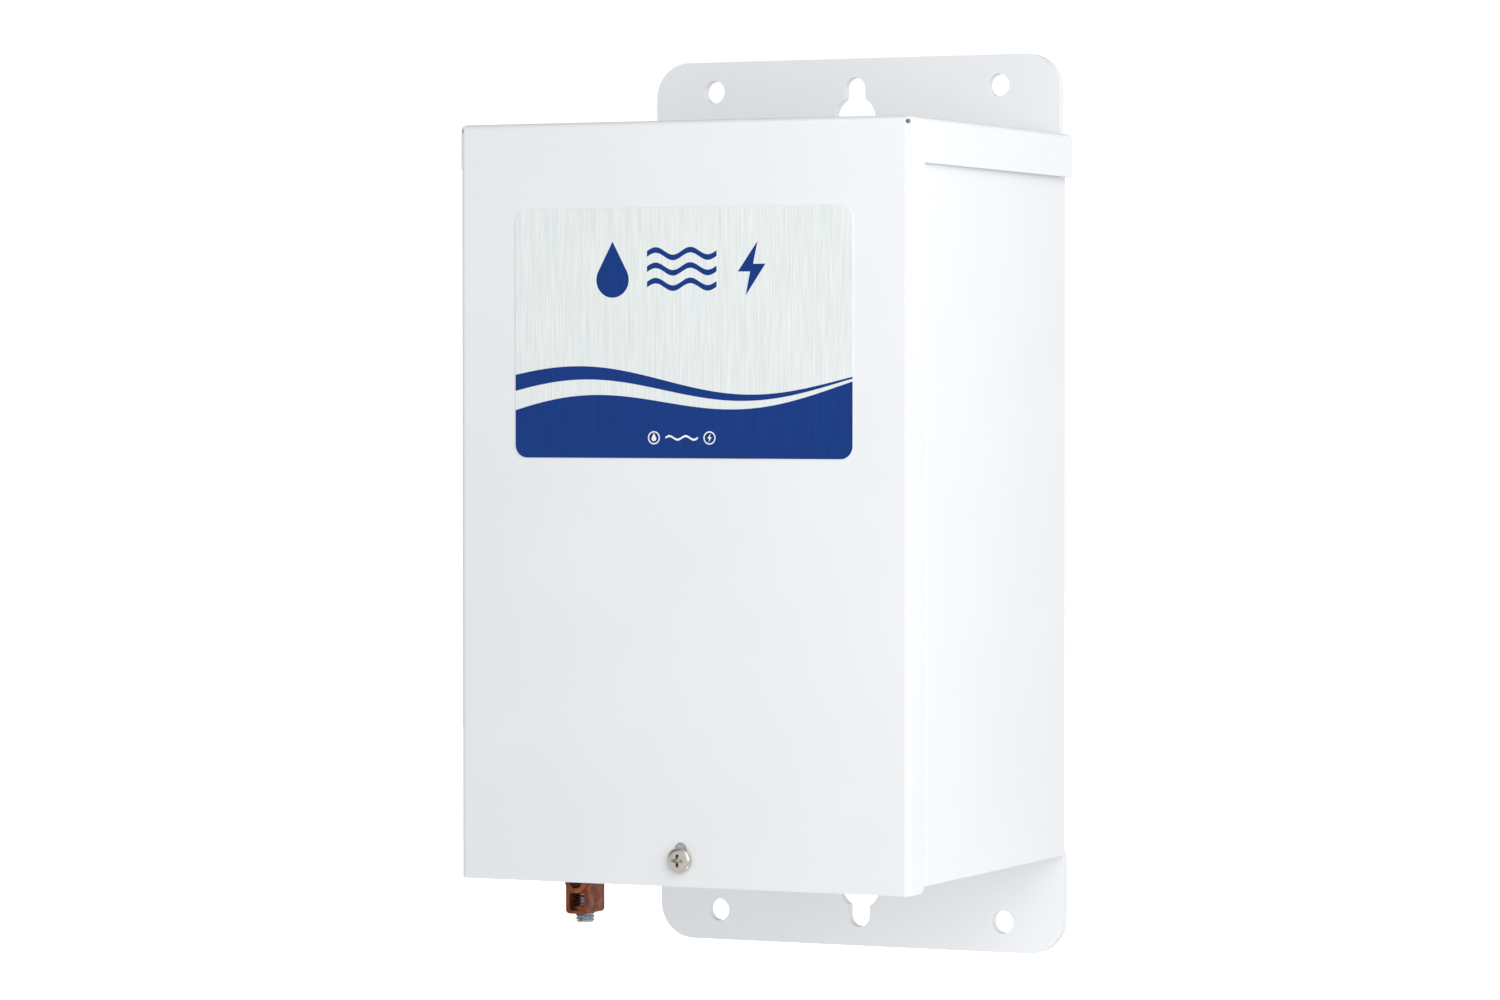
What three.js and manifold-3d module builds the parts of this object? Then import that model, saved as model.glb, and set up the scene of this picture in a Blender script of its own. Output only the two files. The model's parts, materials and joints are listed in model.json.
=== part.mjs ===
// Wall-mounted power centre of a salt chlorine generator: a sheet-steel box with a
// slide-off cover, two mounting brackets, a bonding lug, a transformer and a rectifier board.
//
// Units are millimetres, +Z up. The wall is the plane y = 0 and the box stands out of it
// towards -Y. The origin lies on the upper bracket's back face, on the centre line.

import * as THREE from "three";
import { mergeVertices } from "three/addons/utils/BufferGeometryUtils.js";
import Module from "manifold-3d";

const wasm = await Module();
wasm.setup();

// ---------------------------------------------------------------- driving dimensions

const SHEET = 1.2;               // thickness of every sheet-steel panel
const GAP = 0.3;                 // running gap between pieces that rest on each other
const FIT = 0.5;                 // gap between the cover and the box inside it
const GLUE = 0.05;               // gap behind what is stuck or pressed onto the cover
const PAST = 1;                  // how far a cutting tool runs past the faces it cuts
const BITE = 0.5;                // how far joined solids reach into each other

// Screw sizes: thread, head width, head height and the clearance hole they pass through.
const M4 = { dia: 4, head: 8, rise: 2.4, hole: 4.6 };
const M3 = { dia: 3, head: 6.4, rise: 2.2, hole: 3.6 };
const BOARD_SCREW = { dia: 2.9, head: 5.8, rise: 1.9, hole: 3.4 };
const COVER_SCREW = { dia: 4.6, head: 9.9, rise: 2.7, reach: 11, height: 10.5 };
const CROSS = { long: 0.52, short: 0.13, deep: 0.17 };   // recess, in shares of the head width

const BRACKET = { width: 184, height: 53.5, thickness: 4.8, corner: 15 };
const BRACKET_HOLE = { dia: 9.5, spacing: 130, fromEdge: 12.7 };
const KEYHOLE = { dia: 19, drop: 12.7 };
const UPPER_BRACKET_TOP = 44;    // height of its top edge above the origin
const LOWER_BRACKET_SHIFT = 2;   // the lower bracket sits this far right of the centre line
const LOWER_BRACKET_OVERLAP = 14;    // how far it reaches up behind the box
const BRACKET_SCREW = { x: 60, upperZ: -1, aboveBottom: 8.6 };

const COVER = { width: 193.7, height: 300, top: 10, bend: 2.5 };
const COVER_FLANGE = { depth: 16, corner: 5 };
const COVER_SKIRT = { height: 17.6, proud: 1.35, frontProud: 0.05 };
const COVER_REAR_GAP = 1.3;      // from the top panel's rear edge to the bracket
const RELIEF_HOLE = { dia: 2, below: 2.4, length: 12 };
const COVER_SLOT = { width: 5.4, length: 9.8, play: 0.2 };
const COVER_OVERLAP = 1;         // how far behind the front panel the top panel starts
const WASHER = { inner: 5, outer: 8, thickness: 0.6 };
const CLINCH_NUT = { acrossCorners: 9.5, bore: 5.2, depth: 4.5 };

const BODY = { width: 190.3, depth: 170.7, bottomLift: 2.24, bend: 2 };
const JOGGLE = { step: 1, start: 17, length: 4 };
const LIP = { side: 14, top: 14, bottom: 22 };
const CONDUIT = { dia: 22.2, y: -110, xSupply: -20, xCell: 40 };
const KNOCKOUT = { dia: 22.2, groove: 1.2, depth: 0.8, x: 45, y: -50 };

const LABEL = { width: 145.4, height: 98, thickness: 0.4, corner: 5, x: 0.7, drop: 34.1 };

const LUG = { x: -55.15, width: 9.9, depth: 15, front: -157.2, height: 16.6, bend: 1.6, topCorner: 0.6 };
const LUG_WINDOW = { width: 6.6, bottom: 1.2, top: 8.3, lowCorner: 0.4, highCorner: 0.8 };
const LUG_CHANNEL = { width: 5.6, floor: 10.3, top: 14.4, corner: 0.3 };
const LUG_COLLAR = { dia: 9.8, proud: 1.6 };
const LUG_SCREW = { dia: 7.9, play: 0.3, below: 3.7, tip: 7.7, chamfer: 0.6 };
const LUG_BOSS = { length: 10.6, rise: 1.9 };
const LUG_BOLT = { dia: 4, hole: 4.3, head: 8, rise: 2.4, below: 1.9 };
const SLOT = { width: 1.2, depth: 1.5 };         // screwdriver slots of the lug's two screws
const BUSHING = { bore: 8, flange: 3, flangeHeight: 1.5, snap: 0.6, snapHeight: 4, chamfer: 0.4 };

const CORE = { width: 108, height: 90, stack: 44, tongue: 36, y: -54, z: -215, corner: 0.8 };
const COIL = { wall: 1.2, build: 14, windowGap: 0.5, flange: 1, flangeCorner: 3, corner: 6 };
const FOOT = { sheet: 1.6, overlap: 15, reach: 17, beside: 2, screwX: 64, screwZ: 32 };
const CORE_BOLT = { x: 47.5, z: 38.5, head: 7, rise: 3, beyond: 3 };

const BOARD = { width: 156, height: 106, thickness: 1.6, standoff: 12, z: -87, corner: 1.5 };
const BOARD_HOLE_INSET = 6;
const STANDOFF = { dia: 6.6, bore: 3.4, boreDepth: 8, stud: 3.8, hole: 4.4 };
const HEATSINK = {
  x0: -70, x1: -8, z0: -82, z1: -42, base: 3, fin: 1.6, pitch: 5.4, fins: 6, rise: 20,
};
const RECTIFIER = { x: -21, z: -62, size: 24, depth: 9, chamfer: 5, bore: 4 };
const BLADE = { offset: 8, thickness: 0.8, width: 4, out: 7.5 };
const CAPACITOR = { x: 48, z: -62, dia: 30, length: 42, rim: 2.4, sink: 0.6 };
const CRIMP = { from: 2.5, to: 4.3, depth: 0.9 };            // groove round the capacitor's foot
const RELAY = { x0: 10, x1: 32, z0: -137, z1: -115, rise: 17, corner: 0.8 };
const TERMINAL = { ways: 4, pitch: 9.5, height: 16, depth: 18, x: -42, bottom: -138, ends: 1.5 };
const TERMINAL_WELL = { dia: 6.2, depth: 8, up: 9 };
const TERMINAL_ENTRY = { width: 4, from: 7, to: 12, height: 12 };
const TERMINAL_SCREW = { head: 5.4, rise: 2, sunk: 1, dia: 3, length: 6.6, slot: 1, slotDepth: 0.9 };
const FUSE = { x: -5, z: -128, dia: 4.6, length: 20, cap: 5.2, capLength: 5, rise: 7, tube: 18 };
const FUSE_BASE = { width: 22, height: 10, thickness: 2 };
const FUSE_CLIP = { offset: 7, width: 4, sheet: 0.7, play: 0.2, above: 3.5 };
const CONNECTOR = { x: 52, width: 24, z0: -138, z1: -122, rise: 14, corner: 1 };
const SOCKET = { pitch: 6, width: 3.2, height: 8, floor: 6 };
const GROUND_SCREW = { x: 80, z: -160, dia: 5, play: 0.6, head: 8.6, rise: 3, above: 3 };
const RING = { dia: 10, sheet: 1, lift: 1.4, neckWidth: 3.6, barrel: 3.8, barrelLift: 0.8 };

// levels that follow from the dimensions above
const WALL = 0;
const BODY_BACK = WALL - BRACKET.thickness;
const BODY_FRONT = BODY_BACK - BODY.depth;
const FRONT = BODY_FRONT - FIT - SHEET;
const COVER_BOTTOM = COVER.top - COVER.height;
const BODY_TOP = COVER.top - SHEET - FIT;
const BODY_BOTTOM = COVER_BOTTOM + BODY.bottomLift;
const BACK_INNER = BODY_BACK - SHEET;
const FLOOR = BODY_BOTTOM + SHEET;
const SCREW_Z = COVER_BOTTOM + COVER_SCREW.height;
const BOARD_BACK = BACK_INNER - GAP - BOARD.standoff - GAP;
const BOARD_FRONT = BOARD_BACK - BOARD.thickness;
const ON_BOARD = BOARD_FRONT - GAP;
const LOWER_BRACKET_TOP = COVER_BOTTOM + LOWER_BRACKET_OVERLAP;
const SINK_FRONT = ON_BOARD - HEATSINK.base;
const CORE_FRONT = CORE.y - CORE.stack / 2;
const CORE_BACK = CORE.y + CORE.stack / 2;
const LUG_MIDDLE = LUG.front + LUG.depth / 2;
const CORNERS = [[-1, 1], [1, 1], [-1, -1], [1, -1]];

// ---------------------------------------------------------------- materials

const finish = (color, roughness, metalness = 0) =>
  new THREE.MeshStandardMaterial({ color, roughness, metalness });

const MATERIALS = {
  paint: finish(0xeceef0, 0.45),
  label: finish(0xdfe5e6, 0.35, 0.3),
  stainless: finish(0xb9b8b2, 0.3, 1),
  zinc: finish(0xa9aeb2, 0.4, 1),
  copper: finish(0x7d4a32, 0.5, 0.9),
  nylonWhite: finish(0xe6e4da, 0.5),
  nylonBlack: finish(0x1c1d1e, 0.5),
  lamination: finish(0x4a4c50, 0.6, 0.8),
  bobbin: finish(0xd8d2bf, 0.6),
  primaryTape: finish(0xd9b84a, 0.5),
  secondaryWire: finish(0xa85a2c, 0.35, 0.6),
  circuitBoard: finish(0x1f6b3a, 0.5),
  aluminium: finish(0xb4b8bb, 0.4, 1),
  blackPlastic: finish(0x202224, 0.5),
  greenPlastic: finish(0x2f8f4e, 0.5),
  capacitor: finish(0x20355e, 0.35),
  relay: finish(0x2b4f8f, 0.45),
  glass: finish(0xcfd8da, 0.15),
  brassClip: finish(0xb08d45, 0.4, 1),
  blackWire: finish(0x1a1a1b, 0.5),
  whiteWire: finish(0xe8e8e4, 0.5),
  redWire: finish(0xa3211c, 0.5),
  greenWire: finish(0x2c8a45, 0.5),
};

// ---------------------------------------------------------------- geometry helpers

// Closed BufferGeometry -> Manifold solid.
function solid(geometry) {
  const bare = geometry.clone();
  bare.deleteAttribute("normal");
  bare.deleteAttribute("uv");
  const merged = mergeVertices(bare, 1e-4);
  const vertProperties = new Float32Array(merged.attributes.position.array);
  const triVerts = new Uint32Array(merged.index.array);
  return new wasm.Manifold(new wasm.Mesh({ numProp: 3, vertProperties, triVerts }));
}

// Manifold solid -> flat-shaded BufferGeometry.
function geometryOf(manifold) {
  const mesh = manifold.getMesh();
  const geometry = new THREE.BufferGeometry();
  geometry.setAttribute("position", new THREE.BufferAttribute(mesh.vertProperties, 3));
  geometry.setIndex(new THREE.BufferAttribute(mesh.triVerts, 1));
  geometry.computeVertexNormals();
  return geometry;
}

function join(parts) {
  return parts.map(solid).reduce((sum, next) => sum.add(next));
}

// First geometry joined from `parts`, then every geometry in `tools` cut away.
function shaped(parts, tools = []) {
  return geometryOf(tools.map(solid).reduce((sum, next) => sum.subtract(next), join(parts)));
}

function box(x0, x1, y0, y1, z0, z1) {
  const geometry = new THREE.BoxGeometry(x1 - x0, y1 - y0, z1 - z0);
  return geometry.translate((x0 + x1) / 2, (y0 + y1) / 2, (z0 + z1) / 2);
}

// Box given by its centre and size.
function block(x, y, z, width, depth, height) {
  return new THREE.BoxGeometry(width, depth, height).translate(x, y, z);
}

// Cylinder along an axis, from `from` to `to`; (u, v) is its centre in the other two axes.
function rod(axis, dia, from, to, u, v, sides = 24) {
  const geometry = new THREE.CylinderGeometry(dia / 2, dia / 2, Math.abs(to - from), sides);
  const middle = (from + to) / 2;
  if (axis === "x") return geometry.rotateZ(Math.PI / 2).translate(middle, u, v);
  if (axis === "y") return geometry.translate(u, middle, v);
  return geometry.rotateX(Math.PI / 2).translate(u, v, middle);
}

// A shape drawn in the named plane, extruded along the remaining axis from `from` to `to`.
function extruded(shape, plane, from, to, curveSegments = 3) {
  const geometry = new THREE.ExtrudeGeometry(shape, {
    depth: to - from, bevelEnabled: false, curveSegments,
  });
  const X = new THREE.Vector3(1, 0, 0);
  const Y = new THREE.Vector3(0, 1, 0);
  const Z = new THREE.Vector3(0, 0, 1);
  if (plane === "xy") return geometry.translate(0, 0, from);
  const turn = new THREE.Matrix4();
  if (plane === "xz") {
    turn.makeBasis(X, Z, Y.negate());
    return geometry.applyMatrix4(turn).translate(0, to, 0);
  }
  turn.makeBasis(Y, Z, X);
  return geometry.applyMatrix4(turn).translate(from, 0, 0);
}

// Full circle as two half arcs, so that it has as many segments as two corners.
function circle(u, v, dia, target = new THREE.Path()) {
  target.absarc(u, v, dia / 2, 0, Math.PI, false);
  target.absarc(u, v, dia / 2, Math.PI, 2 * Math.PI, false);
  return target;
}

function polygon(points) {
  return new THREE.Shape(points.map(([u, v]) => new THREE.Vector2(u, v)));
}

// Rectangle with one radius per corner: lower left, lower right, upper right, upper left.
function rectangle(u0, u1, v0, v1, radii, target = new THREE.Shape()) {
  const [a, b, c, d] = Array.isArray(radii) ? radii : [radii, radii, radii, radii];
  const quarter = Math.PI / 2;
  const corner = (u, v, radius, start) => {
    if (radius > 0) target.absarc(u, v, radius, start, start + quarter, false);
    else target.lineTo(u, v);
  };
  target.moveTo(u0 + a, v0);
  target.lineTo(u1 - b, v0);
  corner(u1 - b, v0 + b, b, -quarter);
  target.lineTo(u1, v1 - c);
  corner(u1 - c, v1 - c, c, 0);
  target.lineTo(u0 + d, v1);
  corner(u0 + d, v1 - d, d, quarter);
  target.lineTo(u0, v0 + a);
  corner(u0 + a, v0 + a, a, 2 * quarter);
  target.closePath();
  return target;
}

// Solid of revolution about an axis through (u, v); profile is [radius, place along the axis]
// and may run either way round.
function turned(axis, profile, u, v, sides = 32) {
  const points = profile.map(([radius, place]) => new THREE.Vector2(radius, place));
  if (THREE.ShapeUtils.area(points) < 0) points.reverse();
  const geometry = new THREE.LatheGeometry(points, sides);
  if (axis === "y") return geometry.translate(u, 0, v);
  return geometry.rotateX(Math.PI / 2).translate(u, v, 0);
}

// Tube of round section along a smooth curve through the given points.
function wire(points, dia, steps = 18) {
  const path = new THREE.CatmullRomCurve3(points.map((p) => new THREE.Vector3(...p)));
  const section = new THREE.Shape();
  section.absarc(0, 0, dia / 2, 0, 2 * Math.PI, false);
  return new THREE.ExtrudeGeometry(section, {
    extrudePath: path, steps, bevelEnabled: false, curveSegments: 4,
  });
}

// Pan-head screw along Y with its head towards -Y; `seat` is the plane under the head.
function panScrew(size, x, z, seat, tip, sides = 12) {
  const r = size.head / 2;
  const head = turned("y", [
    [0, tip], [size.dia / 2, tip], [size.dia / 2, seat], [r, seat], [r, seat - 0.4 * size.rise],
    [0.7 * r, seat - size.rise], [0, seat - size.rise],
  ], x, z, sides);
  return shaped([head], crossRecess(x, seat - size.rise, z, size.head));
}

// Cross recess cut into a head whose top is at y = top.
function crossRecess(x, top, z, head) {
  const long = CROSS.long * head;
  const short = CROSS.short * head;
  const deep = CROSS.deep * head;
  return [
    block(x, top, z, long, 2 * deep, short),
    block(x, top, z, short, 2 * deep, long),
  ];
}

// Cutter for a round hole; it runs a little past the two faces it is drilled through.
function drill(axis, dia, from, to, u, v, sides = 16) {
  return rod(axis, dia, from - PAST, to + PAST, u, v, sides);
}

// ---------------------------------------------------------------- assembly

const powerCentre = new THREE.Group();
powerCentre.name = "power_centre";

function add(name, material, geometry) {
  const mesh = new THREE.Mesh(geometry, MATERIALS[material]);
  mesh.name = name;
  powerCentre.add(mesh);
}

// ---------------------------------------------------------------- wall brackets

// Keyhole outline: a slot whose end is level with the round holes, opening into the big
// circle; `way` is +1 when the slot points up and -1 when it points down.
function keyhole(x, slotZ, way) {
  const slot = BRACKET_HOLE.dia / 2;
  const big = KEYHOLE.dia / 2;
  const circleZ = slotZ - way * KEYHOLE.drop;
  const half = Math.asin(slot / big);
  const up = (way * Math.PI) / 2;
  const hole = new THREE.Path();
  hole.absarc(x, circleZ, big, up + half, up - half + 2 * Math.PI, false);
  hole.absarc(x, slotZ, slot, up - Math.PI / 2, up + Math.PI / 2, false);
  hole.closePath();
  return hole;
}

// Bracket plate with two round holes and a keyhole along its outer edge.
function bracket(x, outerZ, way) {
  const innerZ = outerZ - way * BRACKET.height;
  const rowZ = outerZ - way * BRACKET_HOLE.fromEdge;
  const half = BRACKET.width / 2;
  const plate = rectangle(
    x - half, x + half, Math.min(outerZ, innerZ), Math.max(outerZ, innerZ), BRACKET.corner);
  for (const side of [-1, 1]) {
    plate.holes.push(circle(x + (side * BRACKET_HOLE.spacing) / 2, rowZ, BRACKET_HOLE.dia));
  }
  plate.holes.push(keyhole(x, rowZ, way));
  return extruded(plate, "xz", WALL - BRACKET.thickness, WALL, 5);
}

function bracketScrewPlaces() {
  const rows = [BRACKET_SCREW.upperZ, COVER_BOTTOM + BRACKET_SCREW.aboveBottom];
  return rows.flatMap((z) => [-1, 1].map((side) => [side * BRACKET_SCREW.x, z]));
}

function brackets() {
  const places = bracketScrewPlaces();
  const holes = places.map(([x, z]) => drill("y", M4.hole, BACK_INNER, WALL, x, z));
  const outerLower = LOWER_BRACKET_TOP - BRACKET.height;
  add("upper_bracket", "paint", shaped([bracket(0, UPPER_BRACKET_TOP, 1)], holes.slice(0, 2)));
  add("lower_bracket", "paint",
    shaped([bracket(LOWER_BRACKET_SHIFT, outerLower, -1)], holes.slice(2)));
  const tip = WALL - 2 * GAP;
  places.forEach(([x, z], i) => {
    add(`bracket_screw_${i + 1}`, "zinc", panScrew(M4, x, z, BACK_INNER - GAP, tip));
  });
}

// ---------------------------------------------------------------- box

// Plan outline of the box wall: back, two sides with their joggles, and two front lips.
function bodyPlan() {
  const half = BODY.width / 2;
  const inset = half - JOGGLE.step;
  const y0 = BODY_FRONT;
  const y1 = y0 + JOGGLE.start;
  const y2 = y1 + JOGGLE.length;
  const back = BODY_BACK;
  const r = BODY.bend;
  const lip = inset - LIP.side;
  const shape = new THREE.Shape();
  shape.moveTo(-lip, y0);
  shape.lineTo(-inset, y0);
  shape.lineTo(-inset, y1);
  shape.lineTo(-half, y2);
  shape.lineTo(-half, back - r);
  shape.absarc(-half + r, back - r, r, Math.PI, Math.PI / 2, true);
  shape.lineTo(half - r, back);
  shape.absarc(half - r, back - r, r, Math.PI / 2, 0, true);
  shape.lineTo(half, y2);
  shape.lineTo(inset, y1);
  shape.lineTo(inset, y0);
  shape.lineTo(lip, y0);
  shape.lineTo(lip, y0 + SHEET);
  shape.lineTo(inset - SHEET, y0 + SHEET);
  shape.lineTo(inset - SHEET, y1);
  shape.lineTo(half - SHEET, y2);
  shape.lineTo(half - SHEET, back - SHEET);
  shape.lineTo(-half + SHEET, back - SHEET);
  shape.lineTo(-half + SHEET, y2);
  shape.lineTo(-inset + SHEET, y1);
  shape.lineTo(-inset + SHEET, y0 + SHEET);
  shape.lineTo(-lip, y0 + SHEET);
  shape.closePath();
  return shape;
}

// Filled plan outline, for the top panel and the floor.
function bodyFootprint() {
  const half = BODY.width / 2;
  const inset = half - JOGGLE.step;
  const y1 = BODY_FRONT + JOGGLE.start;
  const y2 = y1 + JOGGLE.length;
  const r = BODY.bend;
  const shape = new THREE.Shape();
  shape.moveTo(-inset, BODY_FRONT);
  shape.lineTo(inset, BODY_FRONT);
  shape.lineTo(inset, y1);
  shape.lineTo(half, y2);
  shape.lineTo(half, BODY_BACK - r);
  shape.absarc(half - r, BODY_BACK - r, r, 0, Math.PI / 2, false);
  shape.lineTo(-half + r, BODY_BACK);
  shape.absarc(-half + r, BODY_BACK - r, r, Math.PI / 2, Math.PI, false);
  shape.lineTo(-half, y2);
  shape.lineTo(-inset, y1);
  shape.closePath();
  return shape;
}

// Ring groove that outlines an unused knockout on the floor's underside.
function knockoutGroove(x, y) {
  const ring = circle(x, y, KNOCKOUT.dia, new THREE.Shape());
  ring.holes.push(circle(x, y, KNOCKOUT.dia - 2 * KNOCKOUT.groove));
  return extruded(ring, "xy", BODY_BOTTOM - PAST, BODY_BOTTOM + KNOCKOUT.depth, 5);
}

function footPlaces() {
  return CORNERS.map(([sx, sz]) => [sx * FOOT.screwX, CORE.z + sz * FOOT.screwZ]);
}

function boardHolePlaces() {
  const x = BOARD.width / 2 - BOARD_HOLE_INSET;
  const z = BOARD.height / 2 - BOARD_HOLE_INSET;
  return CORNERS.map(([sx, sz]) => [sx * x, BOARD.z + sz * z]);
}

function bodyShell() {
  const half = BODY.width / 2 - JOGGLE.step;
  const lipBack = BODY_FRONT + SHEET;
  const parts = [
    extruded(bodyPlan(), "xy", BODY_BOTTOM, BODY_TOP),
    extruded(bodyFootprint(), "xy", BODY_BOTTOM, FLOOR),
    extruded(bodyFootprint(), "xy", BODY_TOP - SHEET, BODY_TOP),
    box(-half, half, BODY_FRONT, lipBack, BODY_BOTTOM, BODY_BOTTOM + LIP.bottom),
    box(-half, half, BODY_FRONT, lipBack, BODY_TOP - LIP.top, BODY_TOP),
  ];
  const backHole = (dia) => ([x, z]) => drill("y", dia, BACK_INNER, BODY_BACK, x, z, 12);
  const entry = (x) => drill("z", CONDUIT.dia, BODY_BOTTOM, FLOOR, x, CONDUIT.y, 24);
  const tools = [
    drill("y", COVER_SLOT.width, BODY_FRONT, lipBack, 0, SCREW_Z, 24),
    reliefHole(-1),
    reliefHole(1),
    entry(CONDUIT.xSupply),
    entry(CONDUIT.xCell),
    drill("z", M4.hole, BODY_BOTTOM, FLOOR, LUG.x, LUG_MIDDLE),
    knockoutGroove(KNOCKOUT.x, KNOCKOUT.y),
    knockoutGroove(-KNOCKOUT.x, KNOCKOUT.y),
    ...bracketScrewPlaces().map(backHole(M4.hole)),
    ...footPlaces().map(backHole(M4.hole)),
    ...boardHolePlaces().map(backHole(STANDOFF.hole)),
    backHole(GROUND_SCREW.dia + GROUND_SCREW.play)([GROUND_SCREW.x, GROUND_SCREW.z]),
  ];
  add("body_shell", "paint", shaped(parts, tools));
}

// ---------------------------------------------------------------- cover

// U-shaped band of sheet: a flat of width 2 * half with two legs, drawn leg-ends down the v axis.
function channel(half, top, legEnd, bend) {
  const shape = new THREE.Shape();
  const inner = half - SHEET;
  const under = top - SHEET;
  const innerBend = bend - SHEET;
  shape.moveTo(half, legEnd);
  shape.lineTo(half, top - bend);
  shape.absarc(half - bend, top - bend, bend, 0, Math.PI / 2, false);
  shape.lineTo(-half + bend, top);
  shape.absarc(-half + bend, top - bend, bend, Math.PI / 2, Math.PI, false);
  shape.lineTo(-half, legEnd);
  shape.lineTo(-inner, legEnd);
  shape.lineTo(-inner, top - bend);
  shape.absarc(-inner + innerBend, top - bend, innerBend, Math.PI, Math.PI / 2, true);
  shape.lineTo(inner - innerBend, under);
  shape.absarc(inner - innerBend, top - bend, innerBend, Math.PI / 2, 0, true);
  shape.lineTo(inner, legEnd);
  shape.closePath();
  return shape;
}

// Side outline of the cover, front and top joined by their bend, in the YZ plane.
function coverAngle(rear) {
  const { top, bend } = COVER;
  const shape = new THREE.Shape();
  shape.moveTo(FRONT, COVER_BOTTOM);
  shape.lineTo(FRONT + SHEET, COVER_BOTTOM);
  shape.lineTo(FRONT + SHEET, top - bend);
  shape.absarc(FRONT + bend, top - bend, bend - SHEET, Math.PI, Math.PI / 2, true);
  shape.lineTo(rear, top - SHEET);
  shape.lineTo(rear, top);
  shape.lineTo(FRONT + bend, top);
  shape.absarc(FRONT + bend, top - bend, bend, Math.PI / 2, Math.PI, false);
  shape.closePath();
  return shape;
}

// Everything outside a rounded edge; (u, v) is the sharp corner and `way` points outwards along u.
function roundedEdge(u, v, way) {
  const { bend } = COVER;
  const inside = u - way * bend;
  const shape = new THREE.Shape();
  shape.moveTo(inside, v + PAST);
  shape.lineTo(u + way * PAST, v + PAST);
  shape.lineTo(u + way * PAST, v - bend);
  shape.lineTo(u, v - bend);
  if (way > 0) shape.absarc(inside, v - bend, bend, 0, Math.PI / 2, false);
  else shape.absarc(inside, v - bend, bend, Math.PI, Math.PI / 2, true);
  shape.closePath();
  return shape;
}

// Everything below the rounded rear corners of the flanges.
function flangeCorner() {
  const rear = FRONT + COVER_FLANGE.depth;
  const r = COVER_FLANGE.corner;
  const corner = new THREE.Shape();
  corner.moveTo(rear - r, COVER_BOTTOM - PAST);
  corner.lineTo(rear + PAST, COVER_BOTTOM - PAST);
  corner.lineTo(rear + PAST, COVER_BOTTOM + r);
  corner.lineTo(rear, COVER_BOTTOM + r);
  corner.absarc(rear - r, COVER_BOTTOM + r, r, 0, -Math.PI / 2, true);
  corner.closePath();
  return corner;
}

// Slanted hole through a top corner, where the front, side and top bends meet; it goes on
// through the box's corner behind the cover.
function reliefHole(side) {
  const r = RELIEF_HOLE.dia / 2;
  return new THREE.CylinderGeometry(r, r, RELIEF_HOLE.length, 16)
    .rotateZ((side * Math.PI) / 4)
    .translate((side * COVER.width) / 2, FRONT, COVER.top - RELIEF_HOLE.below);
}

// Keyway for the cover screw; it is longer than the screw is thick, so the cover can drop on.
function screwSlot() {
  const r = COVER_SLOT.width / 2;
  const top = SCREW_Z + COVER_SLOT.length - r - COVER_SLOT.play;
  const outline = rectangle(-r, r, top - COVER_SLOT.length, top, r - 0.001);
  return extruded(outline, "xz", FRONT - PAST, FRONT + SHEET + PAST);
}

// Front panel and its flanges, with the flanges' top edges rounded like the top panel's bends.
function frontPan(half) {
  const section = channel(half, -FRONT, -FRONT - COVER_FLANGE.depth, COVER.bend);
  const pan = extruded(section, "xy", -COVER.top, -COVER_BOTTOM).rotateX(Math.PI);
  const front = FRONT - PAST;
  const rear = FRONT + COVER_FLANGE.depth + PAST;
  return shaped([pan], [-1, 1].map((way) =>
    extruded(roundedEdge(way * half, COVER.top, way), "xz", front, rear)));
}

// Top panel and its skirts, which start flush with the flanges and lean outwards to the rear.
function topPan(half, rear) {
  const rearHalf = half + COVER_SKIRT.proud;
  const section = channel(rearHalf, COVER.top, COVER.top - COVER_SKIRT.height, COVER.bend);
  const front = FRONT + COVER_OVERLAP;
  const pan = extruded(section, "xz", front, rear);
  const lean = COVER_SKIRT.proud - COVER_SKIRT.frontProud;
  const place = pan.attributes.position;
  for (let i = 0; i < place.count; i += 1) {
    const x = place.getX(i);
    if (place.getY(i) < front + GAP) place.setX(i, x - Math.sign(x) * lean);
  }
  return pan;
}

function cover() {
  const half = COVER.width / 2;
  const flat = half - COVER.bend;
  const rear = BODY_BACK - COVER_REAR_GAP;
  add("cover", "paint", shaped(
    [frontPan(half), topPan(half, rear), extruded(coverAngle(rear), "yz", -flat, flat)],
    [
      extruded(roundedEdge(FRONT, COVER.top, -1), "yz", -COVER.width, COVER.width),
      extruded(flangeCorner(), "yz", -COVER.width, COVER.width),
      screwSlot(), reliefHole(-1), reliefHole(1),
    ]));
}

function label() {
  const half = LABEL.width / 2;
  const top = COVER.top - LABEL.drop;
  const outline = rectangle(
    LABEL.x - half, LABEL.x + half, top - LABEL.height, top, LABEL.corner);
  const back = FRONT - GLUE;
  add("label_plate", "label", extruded(outline, "xz", back - LABEL.thickness, back));
}

function coverScrew() {
  const inner = WASHER.inner / 2;
  const outer = WASHER.outer / 2;
  const back = FRONT - GLUE;
  const front = back - WASHER.thickness;
  add("cover_screw_washer", "nylonWhite", turned("y", [
    [inner, front], [outer, front], [outer, back], [inner, back], [inner, front],
  ], 0, SCREW_Z, 20));
  add("cover_screw", "stainless",
    panScrew(COVER_SCREW, 0, SCREW_Z, front - GLUE, FRONT + COVER_SCREW.reach, 20));
  const nut = BODY_FRONT + SHEET + GAP;
  const nutBack = nut + CLINCH_NUT.depth;
  add("cover_clinch_nut", "zinc", shaped(
    [rod("y", CLINCH_NUT.acrossCorners, nut, nutBack, 0, SCREW_Z, 6)],
    [drill("y", CLINCH_NUT.bore, nut, nutBack, 0, SCREW_Z, 24)]));
}

// ---------------------------------------------------------------- bonding lug

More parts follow.
